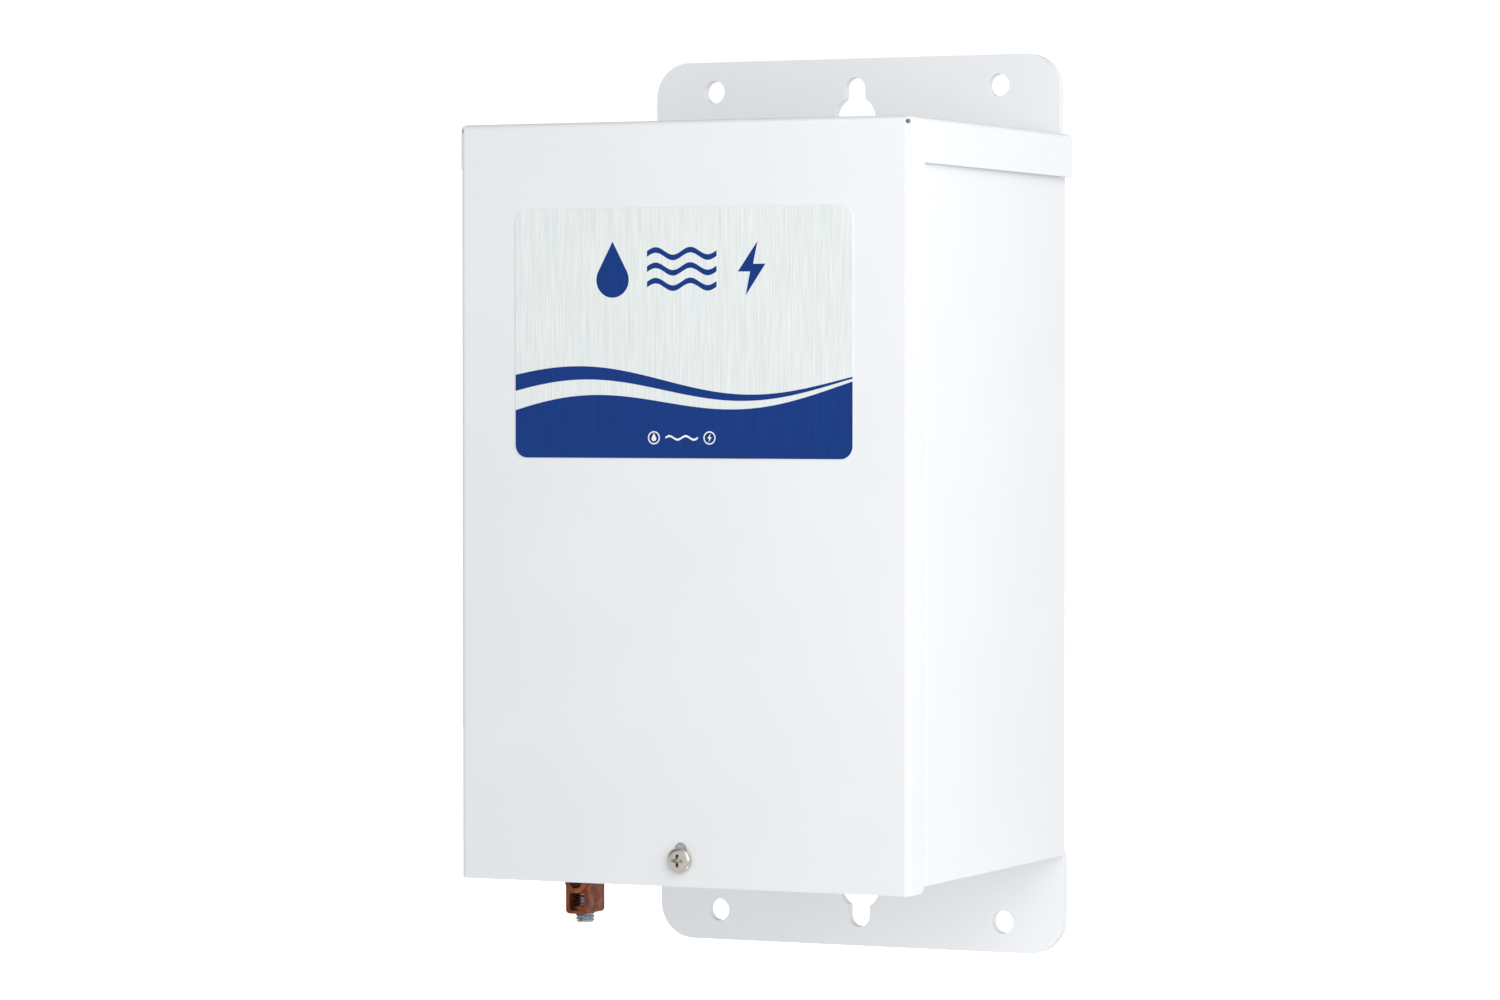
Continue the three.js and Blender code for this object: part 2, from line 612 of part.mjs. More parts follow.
// Hollow body of the lug: side walls around the wire's window, and the channel above it.
function lugBody(bottom, top) {
  const half = LUG.width / 2;
  const section = rectangle(
    LUG.x - half, LUG.x + half, bottom, top, [LUG.bend, LUG.bend, LUG.topCorner, LUG.topCorner]);
  const { width, lowCorner, highCorner } = LUG_WINDOW;
  section.holes.push(rectangle(
    LUG.x - width / 2, LUG.x + width / 2, bottom + LUG_WINDOW.bottom, bottom + LUG_WINDOW.top,
    [lowCorner, lowCorner, highCorner, highCorner], new THREE.Path()));
  return extruded(section, "xz", LUG.front, LUG.front + LUG.depth);
}

// Round-bottomed channel that runs through the lug and its collar.
function lugChannel(bottom) {
  const r = LUG_CHANNEL.width / 2;
  const { corner } = LUG_CHANNEL;
  const outline = rectangle(
    LUG.x - r, LUG.x + r, bottom + LUG_CHANNEL.floor, bottom + LUG_CHANNEL.top,
    [r - 0.01, r - 0.01, corner, corner]);
  const front = LUG.front - LUG_COLLAR.proud;
  return extruded(outline, "xz", front - PAST, LUG.front + LUG.depth + PAST);
}

function bondingLug() {
  const top = BODY_BOTTOM - GAP;
  const bottom = top - LUG.height;
  const floor = bottom + LUG_WINDOW.bottom;
  const bossTop = floor + LUG_BOSS.rise;
  const bossHalf = LUG_BOSS.length / 2;
  const windowHalf = LUG_WINDOW.width / 2 + GAP;
  const boss = box(LUG.x - windowHalf, LUG.x + windowHalf,
    LUG_MIDDLE - bossHalf, LUG_MIDDLE + bossHalf, floor - BITE, bossTop);
  const collarZ = bottom + LUG_CHANNEL.floor + LUG_CHANNEL.width / 2;
  const collarFront = LUG.front - LUG_COLLAR.proud;
  const collar = rod("y", LUG_COLLAR.dia, collarFront, LUG.front + BITE, LUG.x, collarZ, 32);
  const over = LUG_COLLAR.dia;
  const aboveTop = box(
    LUG.x - over, LUG.x + over, collarFront - PAST, LUG.front + over, top, top + over);
  const tip = bottom + LUG_SCREW.tip;
  const screwBore = LUG_SCREW.dia + LUG_SCREW.play;
  add("ground_lug", "copper", shaped([lugBody(bottom, top), boss, collar], [
    aboveTop,
    lugChannel(bottom),
    rod("z", screwBore, bottom - PAST, tip + GAP, LUG.x, LUG_MIDDLE),
    drill("z", LUG_BOLT.hole, bottom + LUG_CHANNEL.top, top, LUG.x, LUG_MIDDLE),
  ]));

  const end = bottom - LUG_SCREW.below;
  const r = LUG_SCREW.dia / 2;
  const { chamfer } = LUG_SCREW;
  add("ground_lug_screw", "zinc", shaped(
    [turned("z", [
      [0, end], [r - chamfer, end], [r, end + chamfer], [r, tip - chamfer],
      [r - chamfer, tip], [0, tip],
    ], LUG.x, LUG_MIDDLE, 24)],
    [block(LUG.x, LUG_MIDDLE, end, SLOT.width, LUG_SCREW.dia + PAST, 2 * SLOT.depth)]));

  const seat = FLOOR + GAP;
  const headTop = seat + LUG_BOLT.rise;
  add("lug_mounting_screw", "zinc", shaped([
    rod("z", LUG_BOLT.dia, top - LUG_BOLT.below, seat + BITE, LUG.x, LUG_MIDDLE, 16),
    rod("z", LUG_BOLT.head, seat, headTop, LUG.x, LUG_MIDDLE, 20),
  ], [block(LUG.x, LUG_MIDDLE, headTop, SLOT.width, LUG_BOLT.head + PAST, SLOT.depth)]));
}

// ---------------------------------------------------------------- cable entries

// Snap-in bushing: flange under the floor, barrel through it and a snap ridge above it.
function snapBushing(name, x) {
  const { bore, flange, flangeHeight, snap, snapHeight, chamfer } = BUSHING;
  const hole = CONDUIT.dia / 2;
  const under = BODY_BOTTOM - GAP;
  const over = FLOOR + GAP;
  const bottom = under - flangeHeight;
  const top = over + snapHeight;
  add(name, "nylonBlack", turned("z", [
    [bore, bottom], [hole + flange - chamfer, bottom], [hole + flange, bottom + chamfer],
    [hole + flange, under], [hole - GAP, under], [hole - GAP, over], [hole + snap, over],
    [hole - snap, top], [bore, top], [bore, bottom],
  ], x, CONDUIT.y, 24));
}

// ---------------------------------------------------------------- transformer

// Rectangular ring with rounded corners in plan, around the core's centre leg.
function legRing(innerX, innerY, outerX, outerY, z0, z1, corner) {
  const { y } = CORE;
  const shape = rectangle(-outerX, outerX, y - outerY, y + outerY, corner);
  shape.holes.push(rectangle(-innerX, innerX, y - innerY, y + innerY, 0.5, new THREE.Path()));
  return extruded(shape, "xy", z0, z1, 2);
}

function coreBoltPlaces() {
  return CORNERS.map(([sx, sz]) => [sx * CORE_BOLT.x, CORE.z + sz * CORE_BOLT.z]);
}

// Stack of laminations with a window on each side of the centre leg.
function transformerCore() {
  const { width, height, tongue, z } = CORE;
  const side = (width - 2 * tongue) / 2;
  const windowTop = (height - tongue) / 2;
  const outline = rectangle(-width / 2, width / 2, z - height / 2, z + height / 2, CORE.corner);
  for (const way of [-1, 1]) {
    const u = way * (tongue / 2 + side / 2);
    outline.holes.push(rectangle(
      u - side / 2, u + side / 2, z - windowTop, z + windowTop, 0.5, new THREE.Path()));
  }
  add("transformer_core", "lamination", shaped(
    [extruded(outline, "xz", CORE_FRONT, CORE_BACK, 2)],
    coreBoltPlaces().map(([x, bz]) => drill("y", M4.hole, CORE_FRONT, CORE_BACK, x, bz, 12))));
}

function coils() {
  const { tongue, stack, height, z } = CORE;
  const { wall, build, windowGap, flange, flangeCorner, corner } = COIL;
  const legX = tongue / 2 + GAP;
  const legY = stack / 2 + GAP;
  const tubeX = legX + wall;
  const tubeY = legY + wall;
  const coilX = tubeX + build;
  const coilY = tubeY + build;
  const windowTop = (height - tongue) / 2;
  const bottom = z - windowTop + windowGap;
  const top = z + windowTop - windowGap;
  const plate = (low) =>
    legRing(legX, legY, coilX + flange, coilY + flange, low, low + wall, flangeCorner);
  add("transformer_bobbin", "bobbin", shaped([
    legRing(legX, legY, tubeX, tubeY, bottom, top, wall),
    plate(bottom), plate(z - wall / 2), plate(top - wall),
  ]));
  const winding = (low, high) =>
    legRing(tubeX + GAP, tubeY + GAP, coilX, coilY, low + GAP, high - GAP, corner);
  add("primary_winding", "primaryTape", winding(bottom + wall, z - wall / 2));
  add("secondary_winding", "secondaryWire", winding(z + wall / 2, top - wall));
}

// Z-shaped clamp that holds one side of the core to the box's back.
function transformerBracket(name, way) {
  const { sheet, overlap, reach, beside } = FOOT;
  const face = CORE_BACK + GAP;
  const back = BACK_INNER - GAP;
  const clampEnd = CORE.width / 2 - overlap;
  const web = CORE.width / 2 + beside;
  const end = web + reach;
  const section = polygon([
    [clampEnd, face], [web, face], [web, back - sheet], [end, back - sheet],
    [end, back], [web - sheet, back], [web - sheet, face + sheet], [clampEnd, face + sheet],
  ].map(([x, y]) => [way * x, y]));
  const holes = [...coreBoltPlaces(), ...footPlaces()];
  add(name, "zinc", shaped(
    [extruded(section, "xy", CORE.z - CORE.height / 2, CORE.z + CORE.height / 2)],
    holes.map(([x, z]) => drill("y", M4.hole, face, back, x, z, 12))));
}

function transformerScrews() {
  const seat = CORE_FRONT - GAP;
  const boltEnd = CORE_BACK + GAP + FOOT.sheet + CORE_BOLT.beyond;
  coreBoltPlaces().forEach(([x, z], i) => {
    add(`core_bolt_${i + 1}`, "zinc", shaped([
      rod("y", CORE_BOLT.head, seat - CORE_BOLT.rise, seat, x, z, 6),
      rod("y", M4.dia, seat - BITE, boltEnd, x, z, 12),
    ]));
  });
  const footFace = BACK_INNER - GAP - FOOT.sheet - GAP;
  footPlaces().forEach(([x, z], i) => {
    add(`transformer_screw_${i + 1}`, "zinc", panScrew(M4, x, z, footFace, BODY_BACK + 2));
  });
}

// ---------------------------------------------------------------- power board

function powerBoard() {
  const half = BOARD.width / 2;
  const z0 = BOARD.z - BOARD.height / 2;
  const z1 = BOARD.z + BOARD.height / 2;
  const places = boardHolePlaces();
  add("power_board", "circuitBoard", shaped(
    [extruded(rectangle(-half, half, z0, z1, BOARD.corner), "xz", BOARD_FRONT, BOARD_BACK, 2)],
    places.map(([x, z]) => drill("y", BOARD_SCREW.hole, BOARD_FRONT, BOARD_BACK, x, z))));
  const front = BOARD_BACK + GAP;
  const back = BACK_INNER - GAP;
  places.forEach(([x, z], i) => {
    add(`board_standoff_${i + 1}`, "zinc", shaped(
      [
        rod("y", STANDOFF.dia, front, back, x, z, 6),
        rod("y", STANDOFF.stud, back - BITE, BODY_BACK + GAP, x, z, 12),
      ],
      [rod("y", STANDOFF.bore, front - PAST, front + STANDOFF.boreDepth, x, z, 12)]));
    const tip = front + STANDOFF.boreDepth - 2;
    add(`board_screw_${i + 1}`, "zinc", panScrew(BOARD_SCREW, x, z, ON_BOARD, tip));
  });
}

// Aluminium heatsink with a bare bay on its right for the rectifier.
function heatsink() {
  const { x0, x1, z0, z1, fin, pitch, rise } = HEATSINK;
  const fins = Array.from({ length: HEATSINK.fins }, (_, i) => {
    const x = x0 + i * pitch;
    return box(x, x + fin, SINK_FRONT - rise, SINK_FRONT + BITE, z0, z1);
  });
  add("heatsink", "aluminium", shaped(
    [box(x0, x1, SINK_FRONT, ON_BOARD, z0, z1), ...fins],
    [drill("y", M3.hole, SINK_FRONT, ON_BOARD, RECTIFIER.x, RECTIFIER.z, 12)]));
}

// Square bridge rectifier with one cut corner, four blade terminals and its screw.
function bridgeRectifier() {
  const { x, z, chamfer, bore } = RECTIFIER;
  const half = RECTIFIER.size / 2;
  const back = SINK_FRONT - GAP;
  const front = back - RECTIFIER.depth;
  const outline = polygon([
    [x - half, z - half], [x + half, z - half], [x + half, z + half],
    [x - half + chamfer, z + half], [x - half, z + half - chamfer],
  ]);
  const bladeHalf = { x: BLADE.thickness / 2, z: BLADE.width / 2 };
  const blades = CORNERS.map(([sx, sz]) => {
    const u = x + sx * BLADE.offset;
    const v = z + sz * BLADE.offset;
    return box(u - bladeHalf.x, u + bladeHalf.x, front - BLADE.out, front + BITE,
      v - bladeHalf.z, v + bladeHalf.z);
  });
  add("bridge_rectifier", "blackPlastic", shaped(
    [extruded(outline, "xz", front, back), ...blades],
    [drill("y", bore, front, back, x, z, 12)]));
  add("rectifier_screw", "zinc", panScrew(M3, x, z, front - GAP, SINK_FRONT + 2));
}

function filterCapacitor() {
  const { x, z, length, rim, sink } = CAPACITOR;
  const r = CAPACITOR.dia / 2;
  const back = ON_BOARD;
  const front = back - length;
  const grooveMiddle = back - (CRIMP.from + CRIMP.to) / 2;
  add("filter_capacitor", "capacitor", turned("y", [
    [0, back], [r - 0.8, back], [r, back - 1], [r, back - CRIMP.from],
    [r - CRIMP.depth, grooveMiddle], [r, back - CRIMP.to], [r, front + 1], [r - 1, front],
    [r - rim + 0.2, front], [r - rim, front + sink], [0, front + sink],
  ], x, z, 20));
}

function relay() {
  const outline = rectangle(RELAY.x0, RELAY.x1, RELAY.z0, RELAY.z1, RELAY.corner);
  add("relay", "relay", extruded(outline, "xz", ON_BOARD - RELAY.rise, ON_BOARD, 2));
}

// Screw-clamp terminal block with wire entries underneath and one clamp screw per way.
function terminalBlock() {
  const half = (TERMINAL.ways * TERMINAL.pitch) / 2 + TERMINAL.ends;
  const z0 = TERMINAL.bottom;
  const front = ON_BOARD - TERMINAL.depth;
  const ways = Array.from({ length: TERMINAL.ways }, (_, i) =>
    TERMINAL.x + (i - (TERMINAL.ways - 1) / 2) * TERMINAL.pitch);
  const screwZ = z0 + TERMINAL_WELL.up;
  const entry = TERMINAL_ENTRY;
  const tools = ways.flatMap((x) => [
    rod("y", TERMINAL_WELL.dia, front - PAST, front + TERMINAL_WELL.depth, x, screwZ, 16),
    box(x - entry.width / 2, x + entry.width / 2, front + entry.from, front + entry.to,
      z0 - PAST, z0 + entry.height),
  ]);
  const body = box(TERMINAL.x - half, TERMINAL.x + half, front, ON_BOARD, z0, z0 + TERMINAL.height);
  add("terminal_block", "greenPlastic", shaped([body], tools));
  ways.forEach((x, i) => add(`terminal_screw_${i + 1}`, "zinc", terminalScrew(x, front, screwZ)));
}

function terminalScrew(x, front, z) {
  const { head, rise, sunk, dia, length, slot, slotDepth } = TERMINAL_SCREW;
  const top = front + sunk;
  return shaped(
    [
      rod("y", head, top, top + rise, x, z, 16),
      rod("y", dia, top + rise - BITE, top + length, x, z, 12),
    ],
    [block(x, top, z, slot, 2 * slotDepth, head + PAST)]);
}

// Two spring clips on a base, open to the front, and the cartridge fuse they hold.
function fuseAndHolder() {
  const { x, z, dia, length, cap, capLength, tube } = FUSE;
  const axisY = ON_BOARD - FUSE.rise;
  const near = cap / 2 + FUSE_CLIP.play;
  const far = near + FUSE_CLIP.sheet;
  const top = axisY - FUSE_CLIP.above;
  const foot = ON_BOARD - FUSE_BASE.thickness / 2;
  const clips = [-1, 1].flatMap((way) => {
    const x0 = x + way * FUSE_CLIP.offset - FUSE_CLIP.width / 2;
    const x1 = x0 + FUSE_CLIP.width;
    return [
      box(x0, x1, top, foot, z - far, z - near),
      box(x0, x1, top, foot, z + near, z + far),
    ];
  });
  const half = { x: FUSE_BASE.width / 2, z: FUSE_BASE.height / 2 };
  const base = box(x - half.x, x + half.x, ON_BOARD - FUSE_BASE.thickness, ON_BOARD,
    z - half.z, z + half.z);
  add("fuse_holder", "brassClip", shaped([base, ...clips]));
  const end = length / 2;
  add("fuse", "glass", shaped([
    rod("x", dia, x - tube / 2, x + tube / 2, axisY, z, 16),
    rod("x", cap, x - end, x - end + capLength, axisY, z, 16),
    rod("x", cap, x + end - capLength, x + end, axisY, z, 16),
  ]));
}

function cellConnector() {
  const { x, width, z0, z1, rise, corner } = CONNECTOR;
  const front = ON_BOARD - rise;
  const middle = (z0 + z1) / 2;
  const outline = rectangle(x - width / 2, x + width / 2, z0, z1, corner);
  const sockets = [-1.5, -0.5, 0.5, 1.5].map((place) => {
    const u = x + place * SOCKET.pitch;
    return box(u - SOCKET.width / 2, u + SOCKET.width / 2, front - PAST, ON_BOARD - SOCKET.floor,
      middle - SOCKET.height / 2, middle + SOCKET.height / 2);
  });
  add("cell_connector", "nylonWhite",
    shaped([extruded(outline, "xz", front, ON_BOARD, 2)], sockets));
}

// ---------------------------------------------------------------- inside wiring

// Leads inside the box. Each starts in a terminal or at a winding and ends on its contact.
const LEAD_DIA = 2.6;
const LEADS = {
  primary_lead_1: ["blackWire", [
    [-56.25, -29, -131], [-56.25, -29, -145], [-52, -60, -152], [-43, -92, -172],
    [-27, -101, -204], [-18, -99, -224], [-18, -92.9, -227],
  ]],
  primary_lead_2: ["whiteWire", [
    [-46.75, -29, -131], [-46.75, -29, -145], [-42, -60, -153], [-30, -93, -175],
    [-13, -101, -206], [-6, -99, -227], [-6, -92.9, -230],
  ]],
  secondary_lead_1: ["redWire", [
    [10, -92.9, -200], [10, -100, -197], [6, -97, -170], [-4, -80, -140],
    [-12, -64, -104], [-13, -53, -76], [-13, -41, -70],
  ]],
  secondary_lead_2: ["redWire", [
    [22, -92.9, -200], [22, -101, -197], [12, -98, -162], [-10, -84, -126],
    [-26, -65, -96], [-29, -54, -76], [-29, -41, -70],
  ]],
  ground_wire: ["greenWire", [
    [-37.25, -29, -131], [-37.25, -29, -147], [-20, -27, -156], [20, -20, -160],
    [56, -10.5, -160], [67.6, -8.5, -160],
  ]],
};

function wiring() {
  for (const [name, [material, points]] of Object.entries(LEADS)) {
    add(name, material, wire(points, LEAD_DIA));
  }
}

// Green ground screw and the crimped ring terminal under its head.
function groundPoint() {
  const { x, z, dia, head, rise, above } = GROUND_SCREW;
  const footing = BACK_INNER - GAP;
  const seat = footing - above;
  add("ground_screw", "greenPlastic", shaped([
    rod("y", head, seat - rise, seat, x, z, 6),
    rod("y", dia, seat - PAST, BODY_BACK + 2, x, z, 12),
  ]));
  const back = footing - RING.lift;
  const front = back - RING.sheet;
  const neck = box(x - 7, x - 3, front, back, z - RING.neckWidth / 2, z + RING.neckWidth / 2);
  add("ground_ring_terminal", "brassClip", shaped(
    [
      rod("y", RING.dia, front, back, x, z, 20),
      neck,
      rod("x", RING.barrel, x - 12, x - 6.5, back - RING.barrelLift, z, 12),
    ],
    [drill("y", dia + GROUND_SCREW.play, front, back, x, z, 12)]));
}

// ---------------------------------------------------------------- build order

brackets();
bodyShell();
cover();
label();
coverScrew();
bondingLug();
snapBushing("supply_bushing", CONDUIT.xSupply);
snapBushing("cell_lead_bushing", CONDUIT.xCell);
transformerCore();
coils();
transformerBracket("transformer_bracket_left", -1);
transformerBracket("transformer_bracket_right", 1);
transformerScrews();
powerBoard();
heatsink();
bridgeRectifier();
filterCapacitor();
relay();
terminalBlock();
fuseAndHolder();
cellConnector();
wiring();
groundPoint();

export default powerCentre;
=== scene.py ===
import json
import math
import random

import bmesh
import bpy
from mathutils import Matrix, Vector


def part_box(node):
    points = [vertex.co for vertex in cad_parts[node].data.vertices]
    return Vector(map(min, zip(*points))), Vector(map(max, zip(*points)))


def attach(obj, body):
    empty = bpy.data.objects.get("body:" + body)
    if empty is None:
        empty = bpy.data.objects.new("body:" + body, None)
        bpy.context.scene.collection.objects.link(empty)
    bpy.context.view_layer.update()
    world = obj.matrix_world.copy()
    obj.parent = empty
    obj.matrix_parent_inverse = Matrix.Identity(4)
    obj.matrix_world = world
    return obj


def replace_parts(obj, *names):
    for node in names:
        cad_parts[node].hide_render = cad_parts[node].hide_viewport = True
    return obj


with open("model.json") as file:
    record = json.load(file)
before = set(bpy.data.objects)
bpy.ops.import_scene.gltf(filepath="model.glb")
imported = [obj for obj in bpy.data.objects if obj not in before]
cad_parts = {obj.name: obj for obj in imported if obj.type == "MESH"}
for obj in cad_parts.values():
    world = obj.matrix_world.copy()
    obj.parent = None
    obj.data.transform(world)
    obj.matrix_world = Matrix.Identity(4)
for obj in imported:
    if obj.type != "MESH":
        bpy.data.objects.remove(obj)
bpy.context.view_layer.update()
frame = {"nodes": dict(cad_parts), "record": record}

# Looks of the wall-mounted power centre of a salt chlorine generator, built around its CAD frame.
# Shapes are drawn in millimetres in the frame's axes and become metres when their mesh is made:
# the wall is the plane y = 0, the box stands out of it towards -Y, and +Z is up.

MM = 0.001
RANDOM = random.Random(11)

BODY_OF = {node: body for body, nodes in frame["record"]["behaviour"]["bodies"].items() for node in nodes}


def span(node):
    """A CAD node's lowest and highest corners, in millimetres."""
    low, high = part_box(node)
    return low / MM, high / MM


def middle(node):
    low, high = span(node)
    return (low + high) / 2


# ------------------------------------------------------------------ sizes, in millimetres

SHEET = 1.2                # panels of the box and cover
COVER_BEND = 2.5           # outside radius of the cover's bends
COVER_FLANGE = 16.0        # depth of the flanges behind the front panel
FLANGE_CORNER = 5.0        # radius of the flanges' lower rear corners
SKIRT_HEIGHT = 17.6        # skirts under the top panel
SKIRT_PROUD = 1.35         # how far the skirts stand outside the flanges at their rear ends
RELIEF_DIA = 2.0           # holes where the corner bends meet
RELIEF_DROP = 2.4          # of their centres under the top
RELIEF_REACH = 6.0         # how deep they are cut along their slant
RELIEF_ROOM = 2.4          # how much wider they are in the box, behind the cover
SLOT_WIDTH = 5.4           # keyway for the cover screw
SLOT_LENGTH = 9.8

BODY_BEND = 2.0
JOGGLE_STEP = 1.0          # the box's sides step inwards near the front, to go inside the cover
JOGGLE_START = 17.0
JOGGLE_LENGTH = 4.0
LIP_SIDE = 14.0            # edges of the box's front, turned in round its opening
LIP_TOP = 14.0
LIP_BOTTOM = 22.0

BRACKET_CORNER = 15.0
HOLE_DIA = 9.5
HOLE_SPACING = 130.0
HOLE_INSET = 12.7
KEYHOLE_DIA = 19.0
KEYHOLE_DROP = 12.7

CONDUIT_DIA = 22.2
GROOVE = 1.2               # width of the knockouts' scored rings
SKIN = 0.05                # joined sheets stay this far inside each other's faces
CLEAR = 5.0                # how far a cutting solid runs past what it cuts


# ------------------------------------------------------------------ camera

def make_camera():
    data = bpy.data.cameras.new("camera")
    data.lens = 126.22
    data.sensor_width = 36.0
    camera = bpy.data.objects.new("camera", data)
    camera.location = (0.8742, -2.0385, -0.0967)
    camera.rotation_euler = (math.radians(88.838), 0.0, math.radians(24.401))
    bpy.context.collection.objects.link(camera)
    bpy.context.scene.camera = camera


make_camera()


# ------------------------------------------------------------------ materials

def rgb(red, green, blue):
    """Linear colour from screen values between 0 and 255."""
    def linear(value):
        value /= 255
        return value / 12.92 if value <= 0.04045 else ((value + 0.055) / 1.055) ** 2.4
    return linear(red), linear(green), linear(blue)


class Finish:
    """A Principled material whose colour, roughness and relief come from procedural textures."""

    def __init__(self, name, colour, roughness, metallic=0.0, **fixed):
        self.material = bpy.data.materials.new(name)
        self.material.use_nodes = True
        self.nodes = self.material.node_tree.nodes
        self.links = self.material.node_tree.links
        self.shader = self.nodes["Principled BSDF"]
        self.place = self.nodes.new("ShaderNodeTexCoord").outputs["Object"]
        self.set("Base Color", (*colour, 1.0))
        self.set("Roughness", roughness)
        self.set("Metallic", metallic)
        for socket, value in fixed.items():
            self.set(socket.replace("_", " "), value)

    def set(self, socket, value):
        target = self.shader.inputs[socket]
        if isinstance(value, bpy.types.NodeSocket):
            self.links.new(value, target)
        else:
            target.default_value = value

    def noise(self, grain, detail=3.0, stretch=(1, 1, 1)):
        """Noise with grains about `grain` millimetres wide, lengthened along each axis by stretch."""
        mapping = self.nodes.new("ShaderNodeMapping")
        mapping.inputs["Scale"].default_value = [1 / length for length in stretch]
        self.links.new(self.place, mapping.inputs["Vector"])
        node = self.nodes.new("ShaderNodeTexNoise")
        node.inputs["Scale"].default_value = 1 / (grain * MM)
        node.inputs["Detail"].default_value = detail
        self.links.new(mapping.outputs["Vector"], node.inputs["Vector"])
        return node.outputs["Fac"]

    def bands(self, pitch, axis, distortion=0.0):
        """Stripes across an axis, one every `pitch` millimetres."""
        node = self.nodes.new("ShaderNodeTexWave")
        node.bands_direction = axis
        node.inputs["Scale"].default_value = math.pi / (10 * pitch * MM)
        node.inputs["Distortion"].default_value = distortion
        self.links.new(self.place, node.inputs["Vector"])
        return node.outputs["Fac"]

    def spread(self, value, low, high, start=0.3, end=0.7):
        """The texture value between start and end, mapped onto low to high."""
        node = self.nodes.new("ShaderNodeMapRange")
        for socket, number in zip(("From Min", "From Max", "To Min", "To Max"), (start, end, low, high)):
            node.inputs[socket].default_value = number
        self.links.new(value, node.inputs["Value"])
        return node.outputs["Result"]

    def colours(self, value, *stops):
        """Colour ramp over a texture value; stops are (place, colour)."""
        node = self.nodes.new("ShaderNodeValToRGB")
        ramp = node.color_ramp
        while len(ramp.elements) < len(stops):
            ramp.elements.new(0.5)
        for element, (place, colour) in zip(ramp.elements, stops):
            element.position = place
            element.color = (*colour, 1.0)
        self.links.new(value, node.inputs["Fac"])
        return node.outputs["Color"]

    def relief(self, value, depth, strength=1.0):
        """Bumps of `depth` millimetres, added to any relief that is there already."""
        node = self.nodes.new("ShaderNodeBump")
        node.inputs["Strength"].default_value = strength
        node.inputs["Distance"].default_value = depth * MM
        self.links.new(value, node.inputs["Height"])
        normal = self.shader.inputs["Normal"]
        if normal.is_linked:
            self.links.new(normal.links[0].from_socket, node.inputs["Normal"])
        self.links.new(node.outputs["Normal"], normal)


def shade(colour, factor):
    return tuple(min(1.0, channel * factor) for channel in colour)


def powder_coat(name, colour):
    """Semi-gloss powder coat: fine orange peel, faint cloudiness, even sheen."""
    finish = Finish(name, colour, 0.38, IOR=1.5)
    cloud = finish.noise(60, 2)
    finish.set("Base Color", finish.colours(cloud, (0.3, shade(colour, 0.985)), (0.7, shade(colour, 1.01))))
    finish.set("Roughness", finish.spread(finish.noise(9, 4), 0.34, 0.44))
    finish.relief(finish.noise(1.6, 2), 0.018)
    finish.relief(finish.noise(0.35, 1), 0.002)
    return finish.material


def plastic(name, colour, roughness, grain=0.5, depth=0.01):
    """Moulded plastic with a fine spark-eroded texture and slight colour drift."""
    finish = Finish(name, colour, roughness)
    cloud = finish.noise(12, 3)
    finish.set("Base Color", finish.colours(cloud, (0.3, shade(colour, 0.88)), (0.7, shade(colour, 1.1))))
    finish.set("Roughness", finish.spread(finish.noise(4, 3), roughness - 0.06, roughness + 0.08))
    finish.relief(finish.noise(grain, 2), depth)
    return finish.material


def metal(name, colour, roughness, stretch=(1, 1, 1), grain=0.6, depth=0.004, tint=0.9):
    """Bare or plated metal: drawn grain along the stretched axis and patchy dullness."""
    finish = Finish(name, colour, roughness, 1.0)
    patches = finish.noise(5, 4)
    finish.set("Base Color", finish.colours(patches, (0.3, shade(colour, tint)), (0.7, colour)))
    finish.set("Roughness", finish.spread(finish.noise(3, 4), roughness - 0.08, roughness + 0.12))
    finish.relief(finish.noise(grain, 3, stretch), depth)
    return finish.material


def tarnished_copper():
    """Cast copper gone brown, brighter where it is rubbed, with a rough cast skin."""
    finish = Finish("tarnished_copper", rgb(140, 82, 52), 0.5, 0.75)
    stains = finish.noise(4.5, 3)
    finish.set("Base Color", finish.colours(
        stains, (0.3, rgb(108, 54, 38)), (0.5, rgb(136, 72, 46)), (0.72, rgb(176, 104, 68))))
    finish.set("Roughness", finish.spread(finish.noise(1.2, 4), 0.36, 0.6))
    finish.relief(finish.noise(0.5, 3), 0.03)
    return finish.material


def label_film():
    """Brushed silver-white film: hair lines that run up and down."""
    finish = Finish("label_film", rgb(236, 241, 241), 0.36, 0.3)
    hair = finish.noise(0.5, 4, (1, 1, 40))
    finish.set("Base Color", finish.colours(hair, (0.32, rgb(227, 234, 234)), (0.68, rgb(247, 250, 249))))
    finish.set("Roughness", finish.spread(finish.noise(0.8, 3, (1, 1, 25)), 0.28, 0.46))
    finish.relief(hair, 0.006)
    return finish.material


def label_ink():
    """Screen-printed blue with the film's hair lines showing faintly through it."""
    blue = rgb(4, 52, 126)
    finish = Finish("label_ink", blue, 0.42, Specular_IOR_Level=0.2)
    hair = finish.noise(0.5, 4, (1, 1, 40))
    finish.set("Base Color", finish.colours(hair, (0.3, shade(blue, 0.92)), (0.7, shade(blue, 1.12))))
    finish.relief(hair, 0.004)
    return finish.material


def laminations():
    """Electrical steel edges: grey-blue scale with rust-brown tints and varnish."""
    finish = Finish("laminations", rgb(92, 94, 98), 0.5, 0.7)
    stains = finish.noise(7, 5)
    finish.set("Base Color", finish.colours(
        stains, (0.3, rgb(66, 68, 74)), (0.55, rgb(104, 104, 106)), (0.75, rgb(120, 104, 88))))
    finish.set("Roughness", finish.spread(finish.noise(2, 4), 0.38, 0.62))
    finish.relief(finish.noise(0.4, 2), 0.02)
    return finish.material


